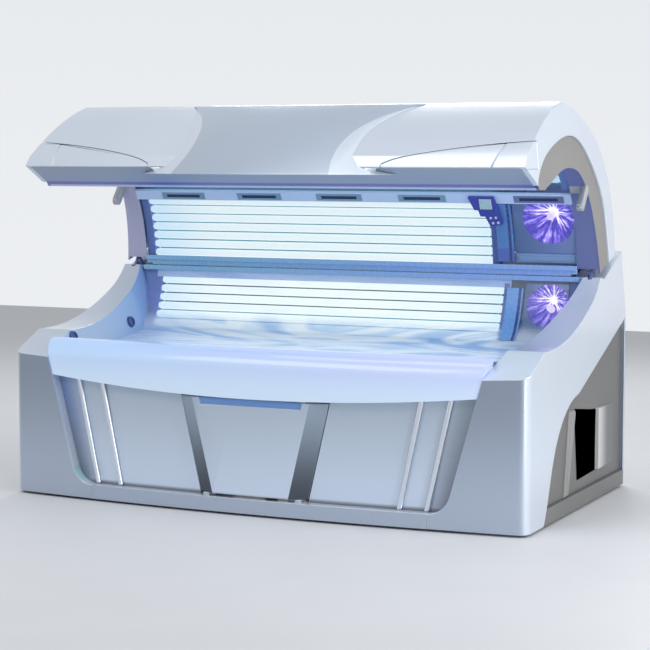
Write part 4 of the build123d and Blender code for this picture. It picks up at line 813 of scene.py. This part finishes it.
def tray(name, node, size, hole, matrix):
    """A thin slab with a round hole, given by its place on the slab and its radius."""
    piece = slab(name, (*size, TRAY_THICK))
    x, y, radius = hole
    bpy.ops.mesh.primitive_cylinder_add(vertices=HOLE_SIDES, radius=radius, depth=0.02, location=(x, y, 0))
    drill = bpy.context.object
    only(piece)
    cut = piece.modifiers.new("hole", "BOOLEAN")
    cut.object = drill
    bpy.ops.object.modifier_apply(modifier=cut.name)
    bpy.data.objects.remove(drill)
    dress(piece, "slate_tray")
    smooth(piece, 0)
    settle(piece, matrix, node)


tray("face_tray", "face_reflector", size=(0.283, 0.300), hole=(0.022, 0.055, 0.1175),
     matrix=seat((0.9415, 0.3055, 1.1695), face_up, face_out))
tray("shoulder_tray", "shoulder_reflector", size=(0.196, 0.235), hole=(0.012, 0.017, 0.0995),
     matrix=seat((0.9500, 0.2951, 0.8229), shoulder_up, shoulder_out))

# %% [markdown]
# At the foot of each window a pale ledge catches the lamps. One ledge is a slab with a rounded front; a
# second step on it is an inset of the same face, drawn out.

# %% Window ledges
TRIM_EDGE, TRIM_SEGMENTS = 0.0015, 3
LEDGE_BORDER, LEDGE_STEP = 0.010, 0.004


def ledge(name, node, size, matrix):
    """A slab with a raised step inside its border."""
    piece = slab(name, size)
    bpy.ops.object.mode_set(mode="EDIT")
    bpy.ops.mesh.select_mode(type="FACE")
    bpy.ops.mesh.select_all(action="DESELECT")
    bpy.ops.object.mode_set(mode="OBJECT")
    for face in piece.data.polygons:
        face.select = face.normal.z > 0.9
    bpy.ops.object.mode_set(mode="EDIT")
    bpy.ops.mesh.inset(thickness=LEDGE_BORDER)
    bpy.ops.mesh.extrude_region_move(TRANSFORM_OT_translate={"value": (0, 0, LEDGE_STEP)})
    bpy.ops.object.mode_set(mode="OBJECT")
    smooth(piece, TRIM_EDGE, TRIM_SEGMENTS)
    dress(piece, "ledge_blue")
    settle(piece, matrix, node)


ledge("face_ledge", "face_reflector", size=(0.280, 0.040, 0.014),
      matrix=seat((0.9415, 0.3420, 1.0480), up=(0, -0.16, 0.987), out=(0, -0.987, -0.16)))
ledge("shoulder_ledge", "shoulder_reflector", size=(0.170, 0.034, 0.012),
      matrix=seat((0.9380, 0.2660, 0.7270), up=(0, 0.62, 0.785), out=(0, -0.785, 0.62)))

# %% [markdown]
# Between the top rear lamp and the rail above it a pale strip closes the wall. It is a slab with its edges
# rounded over.

# %% Head strip
head = slab("head_strip", (1.81, 0.036, 0.004))
smooth(head, TRIM_EDGE, TRIM_SEGMENTS)
dress(head, "strip_pale")
settle(head, seat((-0.125, 0.3330, 0.9310), up=(0, 0.15, 0.9887), out=(0, -0.9887, 0.15)), "base_trim")

# %% [markdown]
# At both ends of the rear wall a blue cheek fills the corner between the lamps and the wing. It is a slab
# too, and its far edge is hidden in the wing.

# %% Wall cheeks
CHEEK_HEIGHT, CHEEK_THICK = 0.240, 0.004
cheek_up, cheek_out = (0, 0.353, 0.9356), (0, -0.9356, 0.353)
for name, x, width in (("cheek_left", -1.062, 0.100), ("cheek_right", 1.081, 0.058)):
    cheek = slab(name, (width, CHEEK_HEIGHT, CHEEK_THICK))
    smooth(cheek, 0.001)
    dress(cheek, "holder_blue")
    settle(cheek, seat((x, 0.3060, 0.8300), cheek_up, cheek_out), "base_trim")

# %% [markdown]
# ## Slots of the vent strip
# Five long slots blow air over the sunbather. Each has a raised frame round a dark well: a plane is stretched
# and raised, its top inset, and the inner face sunk. One is modelled and the rest are copies. The fifth, over
# the face window, has a darker frame as painted shade.

# %% Slot frames
SLOT_SIZE, FRAME_RAISED, FRAME_BORDER = (0.228, 0.034, 1), 0.0025, 0.0095
WELL_LENGTH, WELL_DEPTH = 0.84, 0.006
bpy.ops.object.select_all(action="DESELECT")
bpy.ops.mesh.primitive_plane_add(size=1)
first = bpy.context.object
first.name = "slot_frame_1"
bpy.ops.object.mode_set(mode="EDIT")
bpy.ops.mesh.select_all(action="SELECT")
bpy.ops.transform.resize(value=SLOT_SIZE)
bpy.ops.mesh.extrude_region_move(TRANSFORM_OT_translate={"value": (0, 0, FRAME_RAISED)})
bpy.ops.mesh.inset(thickness=FRAME_BORDER)
bpy.ops.transform.resize(value=(WELL_LENGTH, 1, 1))
bpy.ops.mesh.extrude_region_move(TRANSFORM_OT_translate={"value": (0, 0, -WELL_DEPTH)})
bpy.ops.object.mode_set(mode="OBJECT")
smooth(first, 0.0008)
first.data.materials.append(finishes["slot_frame"])
repaint(first, "slot_navy", lambda centre, normal: centre.z < 0.0005)
frames = [first]
for number in (2, 3, 4, 5):
    copy = bpy.data.objects.new(f"slot_frame_{number}", first.data.copy())
    scene.collection.objects.link(copy)
    frames.append(copy)
# painted shade on the fifth frame
frames[4].data.materials[0] = finishes["indigo_and_shade_moulding"]
slot_places = (-0.825, -0.423, -0.015, 0.392, 0.938)
strip_up, strip_out = (0, -0.5126, 0.8586), (0, -0.8586, -0.5126)
for piece, x in zip(frames, slot_places):
    settle(piece, seat((x, 0.2285, 1.3073), strip_up, strip_out), "vent_strip")

# %% [markdown]
